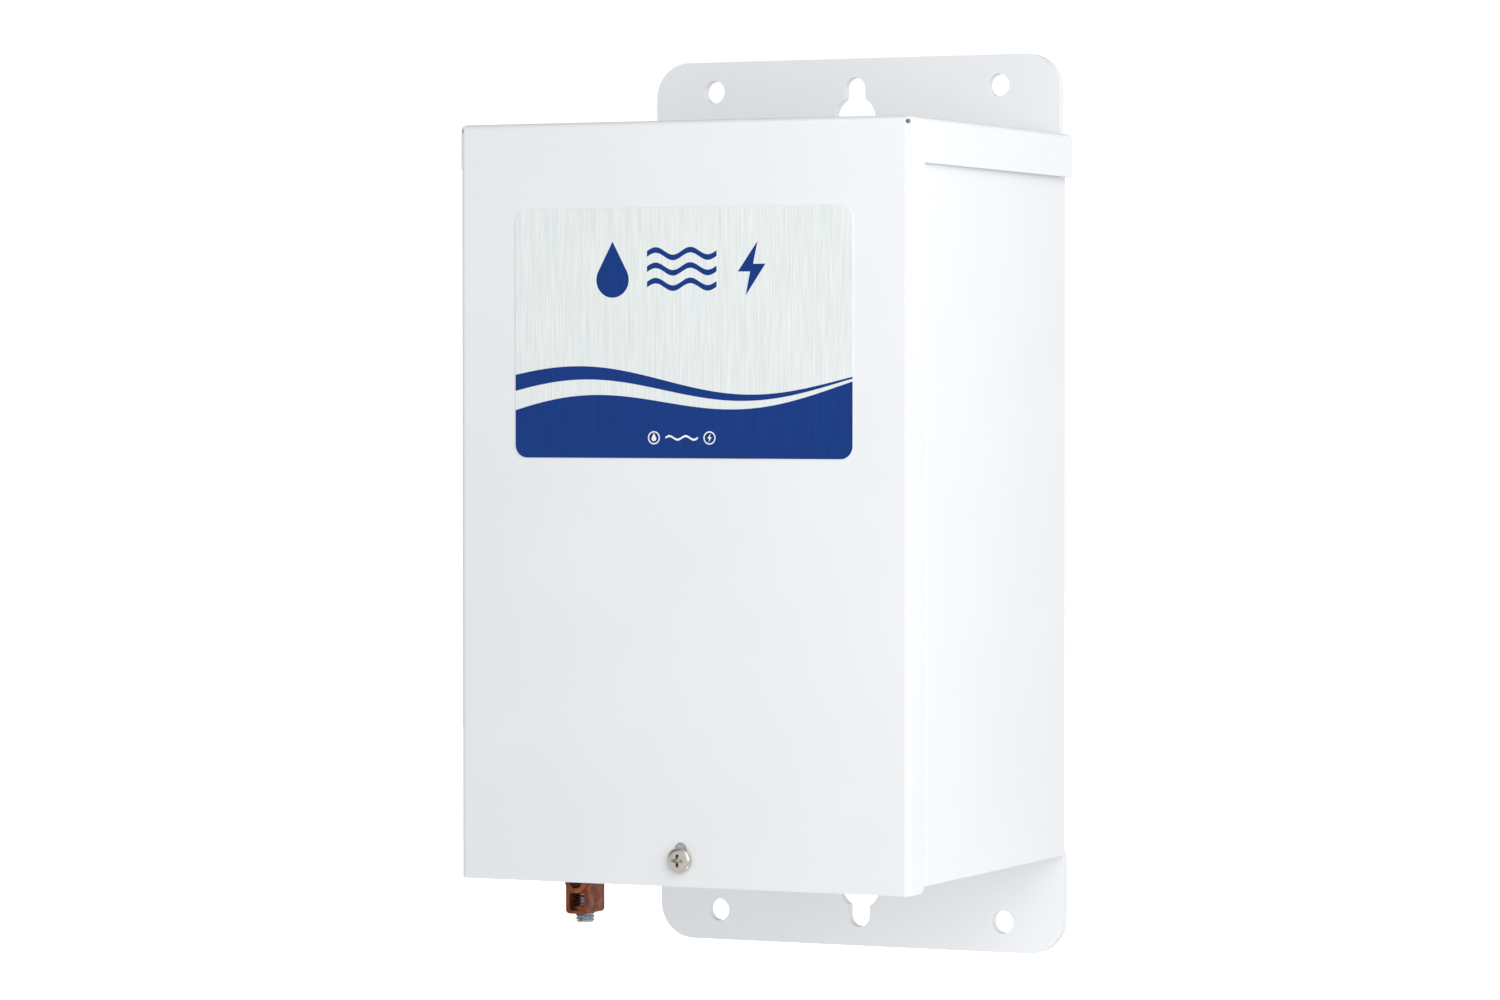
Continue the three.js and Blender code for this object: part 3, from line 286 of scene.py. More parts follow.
def winding_tape():
    """Yellow polyester tape: glossy, with wrinkles that run round the coil."""
    yellow = rgb(222, 178, 62)
    finish = Finish("winding_tape", yellow, 0.32, 0.0, Coat_Weight=0.4, Coat_Roughness=0.15)
    wrinkles = finish.noise(2.4, 3, (6, 6, 1))
    # The colour follows the wrinkles' relief: darker in their hollows and lighter on their crests, which is
    # painted shade and painted highlight.
    finish.set("Base Color", finish.colours(wrinkles, (0.3, shade(yellow, 0.8)), (0.7, shade(yellow, 1.08))))
    finish.relief(wrinkles, 0.12)
    return finish.material


def enamelled_wire():
    """Copper wire under amber enamel."""
    copper = rgb(178, 98, 48)
    finish = Finish("enamelled_wire", copper, 0.3, 0.85, Coat_Weight=0.5, Coat_Roughness=0.12)
    drift = finish.noise(4, 4, (5, 5, 1))
    finish.set("Base Color", finish.colours(drift, (0.3, shade(copper, 0.7)), (0.7, shade(copper, 1.2))))
    return finish.material


def solder_mask():
    """Green solder mask over fibreglass weave."""
    green = rgb(24, 98, 56)
    finish = Finish("solder_mask", green, 0.3, 0.0, Coat_Weight=0.3, Coat_Roughness=0.2)
    cloud = finish.noise(14, 3)
    finish.set("Base Color", finish.colours(cloud, (0.3, shade(green, 0.82)), (0.7, shade(green, 1.15))))
    finish.relief(finish.bands(0.6, "X"), 0.006)
    finish.relief(finish.bands(0.6, "Z"), 0.006)
    return finish.material


def clear_glass():
    finish = Finish("clear_glass", (0.95, 0.97, 0.97), 0.03, 0.0, Transmission_Weight=1.0, IOR=1.45)
    finish.relief(finish.noise(3, 2), 0.01)
    return finish.material


PAINT = rgb(236, 238, 240)
M = {
    "paint": powder_coat("white_powder_coat", PAINT),
    "bracket_paint": powder_coat("bracket_powder_coat", PAINT),
    "film": label_film(),
    "ink": label_ink(),
    "white_ink": plastic("white_ink", rgb(240, 242, 242), 0.4),
    "nickel": metal("bright_nickel", rgb(214, 208, 198), 0.2, tint=0.8),
    "zinc": metal("zinc_plate", rgb(186, 192, 198), 0.3, tint=0.82),
    "dull_steel": metal("dull_steel", rgb(150, 158, 164), 0.34, tint=0.75),
    "copper": tarnished_copper(),
    "white_nylon": plastic("white_nylon", rgb(236, 233, 222), 0.4),
    "black_nylon": plastic("black_nylon", rgb(30, 31, 33), 0.42),
    "laminations": laminations(),
    "bobbin": plastic("bobbin_nylon", rgb(216, 206, 184), 0.5),
    "tape": winding_tape(),
    "enamel": enamelled_wire(),
    "mask": solder_mask(),
    "track": metal("tinned_track", rgb(196, 200, 196), 0.3),
    "silk": plastic("board_marking", rgb(232, 234, 226), 0.6),
    "aluminium": metal("extruded_aluminium", rgb(196, 199, 202), 0.34, (1, 1, 30), 0.4, 0.01),
    "black_plastic": plastic("black_plastic", rgb(34, 36, 39), 0.45),
    "green_plastic": plastic("green_plastic", rgb(46, 142, 82), 0.42),
    "sleeve": plastic("capacitor_sleeve", rgb(28, 44, 88), 0.25, 3.0, 0.02),
    "sleeve_stripe": plastic("sleeve_stripe", rgb(168, 184, 206), 0.3),
    "blue_plastic": plastic("relay_plastic", rgb(40, 86, 158), 0.38),
    "tan": plastic("resistor_body", rgb(204, 178, 136), 0.5),
    "red_band": plastic("red_band", rgb(170, 50, 40), 0.5),
    "brass": metal("brass", rgb(196, 160, 88), 0.28, tint=0.85),
    "tin": metal("tinned_steel", rgb(206, 208, 208), 0.25),
    "glass": clear_glass(),
    "black_wire": plastic("black_wire", rgb(26, 26, 28), 0.38),
    "white_wire": plastic("white_wire", rgb(232, 232, 226), 0.4),
    "red_wire": plastic("red_wire", rgb(176, 32, 28), 0.38),
    "green_wire": plastic("green_wire", rgb(36, 128, 62), 0.38),
    "bare_aluminium": metal("can_top", rgb(206, 208, 210), 0.3),
}


# ------------------------------------------------------------------ outlines

def rounded(corners, steps=8):
    """Outline through (u, v, radius) corners; each radius above 0 becomes an arc."""
    outline = []
    for i, (u, v, radius) in enumerate(corners):
        here = Vector((u, v))
        if radius <= 0:
            outline.append(here)
            continue
        before = (Vector(corners[i - 1][:2]) - here).normalized()
        after = (Vector(corners[(i + 1) % len(corners)][:2]) - here).normalized()
        turn = before.angle(after)
        centre = here + (before + after).normalized() * radius / math.sin(turn / 2)
        start = here + before * radius / math.tan(turn / 2) - centre
        sweep = math.copysign(math.pi - turn, -before.cross(after))
        for k in range(steps + 1):
            outline.append(centre + Matrix.Rotation(sweep * k / steps, 2) @ start)
    return outline


def rectangle(u0, u1, v0, v1, radius=0.0, steps=8):
    return rounded([(u0, v0, radius), (u1, v0, radius), (u1, v1, radius), (u0, v1, radius)], steps)


def arc(u, v, radius, start, end, steps=24):
    """Points along an arc; the angles are in degrees."""
    angles = [math.radians(start + (end - start) * k / steps) for k in range(steps + 1)]
    return [Vector((u + radius * math.cos(a), v + radius * math.sin(a))) for a in angles]


def circle(u, v, dia, steps=48):
    return arc(u, v, dia / 2, 0, 360, steps)[:-1]


def distinct(outline):
    """The outline without points that repeat their neighbour."""
    return [p for i, p in enumerate(outline) if (Vector(p) - Vector(outline[i - 1])).length > 1e-4]


# ------------------------------------------------------------------ solids

PLANES = {
    "xy": lambda u, v, w: (u, v, w),
    "xz": lambda u, v, w: (u, w, v),
    "yz": lambda u, v, w: (w, u, v),
}


def prism(outline, plane, low, high, holes=()):
    """Solid with the outline in the named plane, from low to high across it."""
    bm = bmesh.new()
    at = PLANES[plane]
    top, edges = {}, []
    for loop in map(distinct, (outline, *holes)):
        verts = [bm.verts.new(at(u, v, low)) for u, v in loop]
        top.update({a: at(u, v, high) for a, (u, v) in zip(verts, loop)})
        edges += [bm.edges.new(pair) for pair in zip(verts, verts[1:] + verts[:1])]
    bmesh.ops.triangle_fill(bm, edges=edges, use_beauty=True)
    lift = {a: bm.verts.new(place) for a, place in top.items()}
    for face in bm.faces[:]:
        bm.faces.new([lift[a] for a in reversed(face.verts)])
    for a, b in [tuple(edge.verts) for edge in edges]:
        bm.faces.new((a, b, lift[b], lift[a]))
    bmesh.ops.recalc_face_normals(bm, faces=bm.faces[:])
    return bm


def block(x0, x1, y0, y1, z0, z1):
    return prism(rectangle(x0, x1, y0, y1), "xy", z0, z1)


def loft(rings, closed=False):
    """Solid through rings of points, each with as many points; a ring of one point is a pole."""
    bm = bmesh.new()
    made = [[bm.verts.new(point) for point in ring] for ring in rings]
    pairs = list(zip(made, made[1:] + made[:1])) if closed else list(zip(made, made[1:]))
    for one, other in pairs:
        count = max(len(one), len(other))
        for k in range(count):
            n = (k + 1) % count
            corners = [one[k % len(one)], one[n % len(one)], other[n % len(other)], other[k % len(other)]]
            corners = list(dict.fromkeys(corners))
            if len(corners) > 2:
                bm.faces.new(corners)
    if not closed:
        for ring in (made[0], made[-1]):
            if len(ring) > 2:
                bm.faces.new(ring)
    bmesh.ops.recalc_face_normals(bm, faces=bm.faces[:])
    return bm


AXES = {
    "x": lambda a, b, place, u, v: (place, u + a, v + b),
    "y": lambda a, b, place, u, v: (u + a, place, v + b),
    "z": lambda a, b, place, u, v: (u + a, v + b, place),
}


def lathe(profile, axis, u, v, steps=48):
    """Solid of revolution about an axis through (u, v), from (radius, place) points.
    The profile starts and ends on the axis, or never touches it and closes on itself."""
    turn = [2 * math.pi * k / steps for k in range(steps)]
    rings = []
    for radius, place in distinct(profile):
        angles = turn if radius > 1e-6 else [0.0]
        rings.append([AXES[axis](radius * math.cos(a), radius * math.sin(a), place, u, v) for a in angles])
    return loft(rings, closed=min(radius for radius, _ in profile) > 1e-6)


def rod(axis, dia, low, high, u, v, steps=32):
    return lathe([(0, low), (dia / 2, low), (dia / 2, high), (0, high)], axis, u, v, steps)


def hexagon(axis, across_flats, low, high, u, v):
    radius = across_flats / math.sqrt(3)
    return lathe([(0, low), (radius, low), (radius, high), (0, high)], axis, u, v, 6)


def threaded(axis, dia, pitch, low, high, u, v, steps=24):
    """Threaded shank: a rod whose skin rises and falls along a helix."""
    depth = 0.55 * pitch
    rows = max(2, round((high - low) / pitch * 6))
    rings = []
    for row in range(rows + 1):
        place = low + (high - low) * row / rows
        taper = min(1.0, min(row, rows - row) / 4)
        ring = []
        for k in range(steps):
            wave = abs(((place / pitch + k / steps) % 1.0) * 2 - 1)
            radius = dia / 2 - depth * (1 - taper * (1 - wave))
            angle = 2 * math.pi * k / steps
            ring.append(AXES[axis](radius * math.cos(angle), radius * math.sin(angle), place, u, v))
        rings.append(ring)
    return loft(rings)


def ring_band(half_u, half_v, corner, centre, profile):
    """Closed band round a rounded rectangle; profile is a closed loop of (outward, height) points."""
    rings = []
    for out, height in profile:
        outline = rectangle(-half_u - out, half_u + out, -half_v - out, half_v + out, corner + out, 6)
        rings.append([(centre[0] + u, centre[1] + v, height) for u, v in outline])
    return loft(rings, closed=True)


def tube(points, dia, steps=10):
    """Round wire along a smooth curve through the points."""
    path = [Vector(p) for p in points]
    ends = [path[0] * 2 - path[1], *path, path[-1] * 2 - path[-2]]
    line = []
    for p0, p1, p2, p3 in zip(ends, ends[1:], ends[2:], ends[3:]):
        for k in range(steps):
            t = k / steps
            line.append(0.5 * (2 * p1 + (p2 - p0) * t + (2 * p0 - 5 * p1 + 4 * p2 - p3) * t ** 2
                               + (3 * p1 - p0 - 3 * p2 + p3) * t ** 3))
    line.append(path[-1])
    side = (line[1] - line[0]).orthogonal().normalized()
    rings = []
    for i, here in enumerate(line):
        ahead = (line[min(i + 1, len(line) - 1)] - line[max(i - 1, 0)]).normalized()
        side = (side - ahead * side.dot(ahead)).normalized()
        other = ahead.cross(side)
        angles = [2 * math.pi * k / 14 for k in range(14)]
        rings.append([here + (side * math.cos(a) + other * math.sin(a)) * dia / 2 for a in angles])
    return loft(rings)


def gathered(solids):
    """Separate solids kept as one mesh."""
    whole = solids[0]
    for part in solids[1:]:
        mesh = bpy.data.meshes.new("part")
        part.to_mesh(mesh)
        part.free()
        whole.from_mesh(mesh)
        bpy.data.meshes.remove(mesh)
    return whole


def boolean(base, tools, operation):
    """The base solid joined with or cut by each tool."""
    objects = []
    for solid in (base, *tools):
        mesh = bpy.data.meshes.new("operand")
        solid.to_mesh(mesh)
        solid.free()
        operand = bpy.data.objects.new("operand", mesh)
        bpy.context.collection.objects.link(operand)
        objects.append(operand)
    host = objects[0]
    for operand in objects[1:]:
        modifier = host.modifiers.new("boolean", "BOOLEAN")
        modifier.operation = operation
        modifier.solver = "EXACT"
        modifier.object = operand
    result = bmesh.new()
    result.from_object(host, bpy.context.evaluated_depsgraph_get())
    for operand in objects:
        mesh = operand.data
        bpy.data.objects.remove(operand)
        bpy.data.meshes.remove(mesh)
    bmesh.ops.remove_doubles(result, verts=result.verts[:], dist=1e-4)
    bmesh.ops.dissolve_degenerate(result, edges=result.edges[:], dist=1e-4)
    return result


def joined(base, *tools):
    return boolean(base, tools, "UNION")


def cut(base, *tools):
    return boolean(base, tools, "DIFFERENCE")


# ------------------------------------------------------------------ pieces

SHARP = math.radians(32)


def placed(name, solid, material):
    """The solid as a linked object with one material."""
    mesh = bpy.data.meshes.new(name)
    solid.to_mesh(mesh)
    solid.free()
    mesh.materials.append(material)
    item = bpy.data.objects.new(name, mesh)
    bpy.context.collection.objects.link(item)
    return item


def piece(name, solid, finish, body="enclosure", bevel=0.0, segments=3):
    """A finished object riding on a CAD body; bevel rounds its sharp edges, in millimetres."""
    bmesh.ops.scale(solid, verts=solid.verts[:], vec=(MM, MM, MM))
    item = placed(name, solid, M[finish])
    item.data.shade_smooth()
    item.data.set_sharp_from_angle(angle=SHARP)
    if bevel:
        modifier = item.modifiers.new("edges", "BEVEL")
        modifier.width = bevel * MM
        modifier.segments = segments
        modifier.limit_method = "ANGLE"
        modifier.angle_limit = SHARP
        modifier.harden_normals = True
    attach(item, body)
    return item


def stand_in(node, solid, finish, bevel=0.0, segments=3):
    """The finished piece that is shown for a CAD node, on that node's body."""
    item = piece(node + "_detail", solid, finish, BODY_OF[node], bevel, segments)
    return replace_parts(item, node)


# ------------------------------------------------------------------ screws

def cross_recess(x, top, z, head_dia):
    """Tapered cross cut into a head whose top faces -Y at y = top."""
    tools = []
    reach, wing, deep = 0.27 * head_dia, 0.065 * head_dia, 0.2 * head_dia
    for long_x, long_z in ((reach, wing), (wing, reach)):
        rings = []
        for place, scale in ((top - 0.5, 1.08), (top + deep, 0.55)):
            a, b = long_x * scale, long_z * scale
            rings.append([(x - a, place, z - b), (x + a, place, z - b), (x + a, place, z + b),
                          (x - a, place, z + b)])
        tools.append(loft(rings))
    point = 0.14 * head_dia
    tools.append(lathe([(0, top - 0.5), (point, top - 0.5), (0.7 * point, top + deep),
                        (0, top + 1.3 * deep)], "y", x, z, 16))
    return tools


def hex_head(across_flats, face_radius, face, x, z):
    """Hexagon head, 3 mm high, that is turned down to a round face; it faces -Y at y = face."""
    rim = face_radius + 1
    turned = lathe([(0, face), (face_radius, face), (rim, face + 0.8), (rim, face + 3), (0, face + 3)],
                   "y", x, z)
    return boolean(hexagon("y", across_flats, face, face + 3, x, z), [turned], "INTERSECT")


def pan_screw(x, seat, z, head_dia, rise, dia, tip, pitch):
    """Cross-recess pan-head screw along Y; `seat` is the plane under its head."""
    r = head_dia / 2
    head = lathe(rounded([
        (0, seat, 0), (r, seat, 0.12 * rise), (r, seat - 0.55 * rise, 0.42 * rise),
        (0.72 * r, seat - 0.93 * rise, 0.9 * r), (0, seat - rise, 0)], 6), "y", x, z)
    head = cut(head, *cross_recess(x, seat - rise, z, head_dia))
    return joined(head, threaded("y", dia, pitch, seat - 0.3, tip, x, z))


# ------------------------------------------------------------------ cover

def channel(half, web, leg_end, bend):
    """U-shaped band of sheet: web across the u axis, two legs that end at leg_end."""
    inner = half - SHEET
    under = web + math.copysign(SHEET, leg_end - web)
    return rounded([
        (half, leg_end, 0), (half, web, bend), (-half, web, bend), (-half, leg_end, 0),
        (-inner, leg_end, 0), (-inner, under, bend - SHEET), (inner, under, bend - SHEET),
        (inner, leg_end, 0)])


def outside_bend(u, v, way):
    """Everything outside a rounded edge; (u, v) is its sharp corner and `way` points outwards along u."""
    inside = u - way * COVER_BEND
    start = 0 if way > 0 else 180
    return [(inside, v + CLEAR), (u + way * CLEAR, v + CLEAR), (u + way * CLEAR, v - COVER_BEND),
            *arc(inside, v - COVER_BEND, COVER_BEND, start, 90, 10)]


def relief_hole(side, half, front, top, dia=RELIEF_DIA):
    """Slanted hole where the front, side and top bends meet."""
    hole = rod("x", dia, -RELIEF_REACH, RELIEF_REACH, 0, 0)
    bmesh.ops.rotate(hole, verts=hole.verts[:], cent=(0, 0, 0),
                     matrix=Matrix.Rotation(math.radians(-45 * side), 3, "Z"))
    bmesh.ops.translate(hole, verts=hole.verts[:], vec=(side * half, front, top - RELIEF_DROP))
    return hole


def make_cover():
    low, high = span("cover")
    half = high.x - SKIRT_PROUD
    front, rear, bottom, top = low.y, high.y, low.z, high.z
    behind = front + COVER_FLANGE
    front_pan = cut(
        prism(channel(half, front, behind, COVER_BEND), "xy", bottom, top),
        *[prism(outside_bend(way * half, top, way), "xz", front - CLEAR, behind + CLEAR) for way in (-1, 1)])
    top_pan = prism(channel(high.x, top, top - SKIRT_HEIGHT, COVER_BEND), "xz", front + 1, rear)
    for vert in top_pan.verts:
        if vert.co.y < front + 2:
            vert.co.x -= math.copysign(SKIRT_PROUD - SKIN, vert.co.x)
    flat = half - COVER_BEND
    angle = prism(rounded([
        (front, bottom, 0), (front + SHEET, bottom, 0), (front + SHEET, top - SHEET, COVER_BEND - SHEET),
        (rear, top - SHEET, 0), (rear, top, 0), (front, top, COVER_BEND)]), "yz", -flat, flat)
    edge = prism(outside_bend(front, top, -1), "yz", -high.x - CLEAR, high.x + CLEAR)
    corner = prism([
        (behind - FLANGE_CORNER, bottom - CLEAR), (behind + CLEAR, bottom - CLEAR),
        (behind + CLEAR, bottom + FLANGE_CORNER),
        *arc(behind - FLANGE_CORNER, bottom + FLANGE_CORNER, FLANGE_CORNER, 0, -90, 12)],
        "yz", -high.x - CLEAR, high.x + CLEAR)
    screw = middle("cover_screw")
    slot_top = screw.z + SLOT_LENGTH - SLOT_WIDTH / 2 - 0.2
    slot = prism(rectangle(-SLOT_WIDTH / 2, SLOT_WIDTH / 2, slot_top - SLOT_LENGTH, slot_top,
                           SLOT_WIDTH / 2 - 0.01), "xz", front - 2, front + SHEET + 2)
    holes = [relief_hole(side, half, front, top) for side in (-1, 1)]
    stand_in("cover", cut(joined(front_pan, top_pan, angle), edge, corner, slot, *holes), "paint", 0.2)


# ------------------------------------------------------------------ label

def label_wave(low, high, x):
    """Heights at x of the band's top and bottom and of the blue field's top."""
    share = (x - low.x) / (high.x - low.x)
    crest = high.z - 67.5 + 5.6 * math.cos(2 * math.pi * (share - 0.19) / 1.03)
    band = 6.4 - 5.7 * share
    gap = 7.6 - 6.5 * share
    return crest, crest - band, crest - band - gap


def make_label():
    low, high = span("label_plate")
    corner = 5.0
    stand_in("label_plate", prism(rectangle(low.x, high.x, low.z, high.z, corner, 12), "xz",
                                  low.y + 0.06, high.y), "film", 0.08, 2)
    skin = (low.y, low.y + 0.09)
    steps = 60
    xs = [low.x + (high.x - low.x) * k / steps for k in range(steps + 1)]
    levels = [label_wave(low, high, x) for x in xs]
    band = [(x, z[0]) for x, z in zip(xs, levels)] + [(x, z[1]) for x, z in zip(xs, levels)][::-1]
    field = [(x, z[2]) for x, z in zip(xs, levels)][::-1]
    foot = (arc(low.x + corner, low.z + corner, corner, 180, 270, 12)
            + arc(high.x - corner, low.z + corner, corner, 270, 360, 12))
    piece("label_wave_band", prism(band, "xz", *skin), "ink", "cover")
    piece("label_wave_field", prism(field + foot, "xz", *skin), "ink", "cover")
    make_label_symbols(low, high, skin)


def drop(u, v, size):
    """Water drop: a circle whose sides run tangentially up to a point."""
    radius = 0.32 * size
    reach = size - radius
    touch = math.degrees(math.acos(radius / reach))
    return arc(u, v, radius, 90 + touch, 450 - touch, 32) + [Vector((u, v + reach))]


def ripple(u, v, width, height, rise, waves=2.0, steps=40):
    """Wavy bar of constant height."""
    us = [width * (k / steps - 0.5) for k in range(steps + 1)]
    line = [(u + d, v + rise * math.sin(2 * math.pi * waves * d / width)) for d in us]
    return [(x, z + height / 2) for x, z in line] + [(x, z - height / 2) for x, z in line][::-1]


def bolt(u, v, size):
    """Lightning bolt."""
    points = [(0.12, 0.5), (-0.28, -0.06), (-0.03, -0.06), (-0.12, -0.5), (0.28, 0.08), (0.03, 0.08)]
    return [(u + a * size, v + b * size) for a, b in points]


def make_label_symbols(low, high, skin):
    """Plain water and power pictograms where a maker would print a name."""
    centre = (low.x + high.x) / 2
    line = high.z - 24.0
    shapes = [
        prism(drop(centre - 30, line - 4, 22), "xz", *skin),
        prism(bolt(centre + 30, line, 21), "xz", *skin),
        *[prism(ripple(centre, line + offset, 30, 2.2, 1.5), "xz", *skin) for offset in (6, 0, -6)],
    ]
    piece("label_pictograms", gathered(shapes), "ink", "cover")
    print_skin = (skin[0] - 0.03, skin[0] + 0.02)
    level = low.z + 8
    marks = [prism(arc(centre + x, level, 2.6, 0, 360, 32)[:-1], "xz", *print_skin,
                   [circle(centre + x, level, 4.2, 32)]) for x in (-12, 12)]
    marks.append(prism(drop(centre - 12, level - 0.3, 3.2), "xz", *print_skin))
    marks.append(prism(bolt(centre + 12, level, 3.4), "xz", *print_skin))
    marks.append(prism(ripple(centre, level, 14, 0.8, 0.7), "xz", *print_skin))
    piece("label_small_marks", gathered(marks), "white_ink", "cover")


# ------------------------------------------------------------------ box

def make_box():
    low, high = span("body_shell")
    half = high.x
    inset = half - JOGGLE_STEP
    front, back = low.y, high.y
    y1, y2 = front + JOGGLE_START, front + JOGGLE_START + JOGGLE_LENGTH
    lip = inset - LIP_SIDE
    soft = 3.0
    outer = [(-inset, front, 1.6), (-inset, y1, soft), (-half, y2, soft), (-half, back, BODY_BEND),
             (half, back, BODY_BEND), (half, y2, soft), (inset, y1, soft), (inset, front, 1.6)]
    inner = [(inset - SHEET, front + SHEET, 0.4), (inset - SHEET, y1, soft), (half - SHEET, y2, soft),
             (half - SHEET, back - SHEET, 0.8), (SHEET - half, back - SHEET, 0.8), (SHEET - half, y2, soft),
             (SHEET - inset, y1, soft), (SHEET - inset, front + SHEET, 0.4)]
    plan = rounded([(-lip, front, 0), *outer, (lip, front, 0), (lip, front + SHEET, 0), *inner,
                    (-lip, front + SHEET, 0)], 6)
    footprint = rounded(outer, 6)
    shell = joined(
        prism(plan, "xy", low.z, high.z),
        prism(footprint, "xy", low.z, low.z + SHEET),
        prism(footprint, "xy", high.z - SHEET, high.z),
        block(-inset + 1, inset - 1, front + SKIN, front + SHEET - SKIN, low.z + SKIN, low.z + LIP_BOTTOM),
        block(-inset + 1, inset - 1, front + SKIN, front + SHEET - SKIN, high.z - LIP_TOP, high.z - SKIN))
    screw = middle("cover_screw")
    tools = [rod("y", SLOT_WIDTH, front - 1, front + SHEET + 1, 0, screw.z)]
    for node in ("supply_bushing", "cell_lead_bushing"):
        entry = middle(node)
        tools.append(rod("z", CONDUIT_DIA, low.z - 1, low.z + SHEET + 1, entry.x, entry.y, 48))
    for mount in frame["record"]["mounts"]:
        if mount["name"].startswith("conduit_knockout"):
            x, y = (value / MM for value in mount["pos_m"][:2])
            r = CONDUIT_DIA / 2
            tools.append(lathe([(r - GROOVE, low.z - 1), (r, low.z - 1), (r, low.z + 0.8),
                                (r - GROOVE, low.z + 0.8)], "z", x, y, 64))
    for node in frame["nodes"]:
        if node.startswith(("bracket_screw", "transformer_screw", "board_standoff", "ground_screw")):
            place = middle(node)
            tools.append(rod("y", 4.6, back - SHEET - 1, back + 1, place.x, place.z, 24))
    cover_low, cover_high = span("cover")
    for side in (-1, 1):
        tools.append(relief_hole(side, cover_high.x - SKIRT_PROUD, cover_low.y, cover_high.z,
                                 RELIEF_DIA + RELIEF_ROOM))
    lug_bolt = middle("lug_mounting_screw")
    tools.append(rod("z", 4.6, low.z - 1, low.z + SHEET + 1, lug_bolt.x, lug_bolt.y, 24))
    stand_in("body_shell", cut(shell, *tools), "paint", 0.2)


# ------------------------------------------------------------------ brackets

def keyhole(x, slot_z, way):
    """Slot level with the round holes that opens into a big circle; way is +1 for a slot that points up."""
    slot, big = HOLE_DIA / 2, KEYHOLE_DIA / 2
    half = math.degrees(math.asin(slot / big))
    up = 90 * way
    return (arc(x, slot_z - way * KEYHOLE_DROP, big, up + half, up - half + 360, 40)
            + arc(x, slot_z, slot, up - 90, up + 90, 20))


def make_bracket(node, way):
    low, high = span(node)
    x = (low.x + high.x) / 2
    outer = high.z if way > 0 else low.z
    row = outer - way * HOLE_INSET
    holes = [circle(x + side * HOLE_SPACING / 2, row, HOLE_DIA) for side in (-1, 1)]
    holes.append(keyhole(x, row, way))
    for screw in ("bracket_screw_1", "bracket_screw_2", "bracket_screw_3", "bracket_screw_4"):
        place = middle(screw)
        if low.z < place.z < high.z:
            holes.append(circle(place.x, place.z, 4.6, 24))
    plate = prism(rectangle(low.x, high.x, low.z, high.z, BRACKET_CORNER, 16), "xz", low.y, high.y, holes)
    stand_in(node, plate, "bracket_paint", 0.55, 4)


# ------------------------------------------------------------------ cover screw and bonding lug

def make_cover_screw():
    low, high = span("cover_screw")
    x, z = middle("cover_screw").x, middle("cover_screw").z
    rise = 2.7
    screw = pan_screw(x, low.y + rise, z, high.x - low.x, rise, 4.6, high.y, 0.8)
    stand_in("cover_screw", screw, "nickel", 0.06, 2)
    low, high = span("cover_screw_washer")
    r = (high.x - low.x) / 2
    washer = lathe(rounded([(2.5, low.y, 0.1), (r, low.y, 0.25), (r, high.y, 0.1), (2.5, high.y, 0.1)], 3),
                   "y", x, z)
    stand_in("cover_screw_washer", washer, "white_nylon")
    low, high = span("cover_clinch_nut")
    nut = cut(hexagon("y", 9.0, low.y, high.y, x, z), rod("y", 5.0, low.y - 1, high.y + 1, x, z))
    stand_in("cover_clinch_nut", nut, "zinc", 0.3)


LUG_BEND = 1.6
LUG_WINDOW = {"width": 6.6, "bottom": 1.2, "top": 8.3}
LUG_CHANNEL = {"radius": 2.7, "rise": 13.1}
LUG_COLLAR = {"radius": 4.85, "proud": 1.6}
LUG_BOSS = {"radius": 5.3, "half_width": 3.6, "rise": 1.9, "chamfer": 0.4}
LUG_SCREW_BORE = {"dia": 8.1, "rise": 8.0}
LUG_BOLT_BORE = 4.3


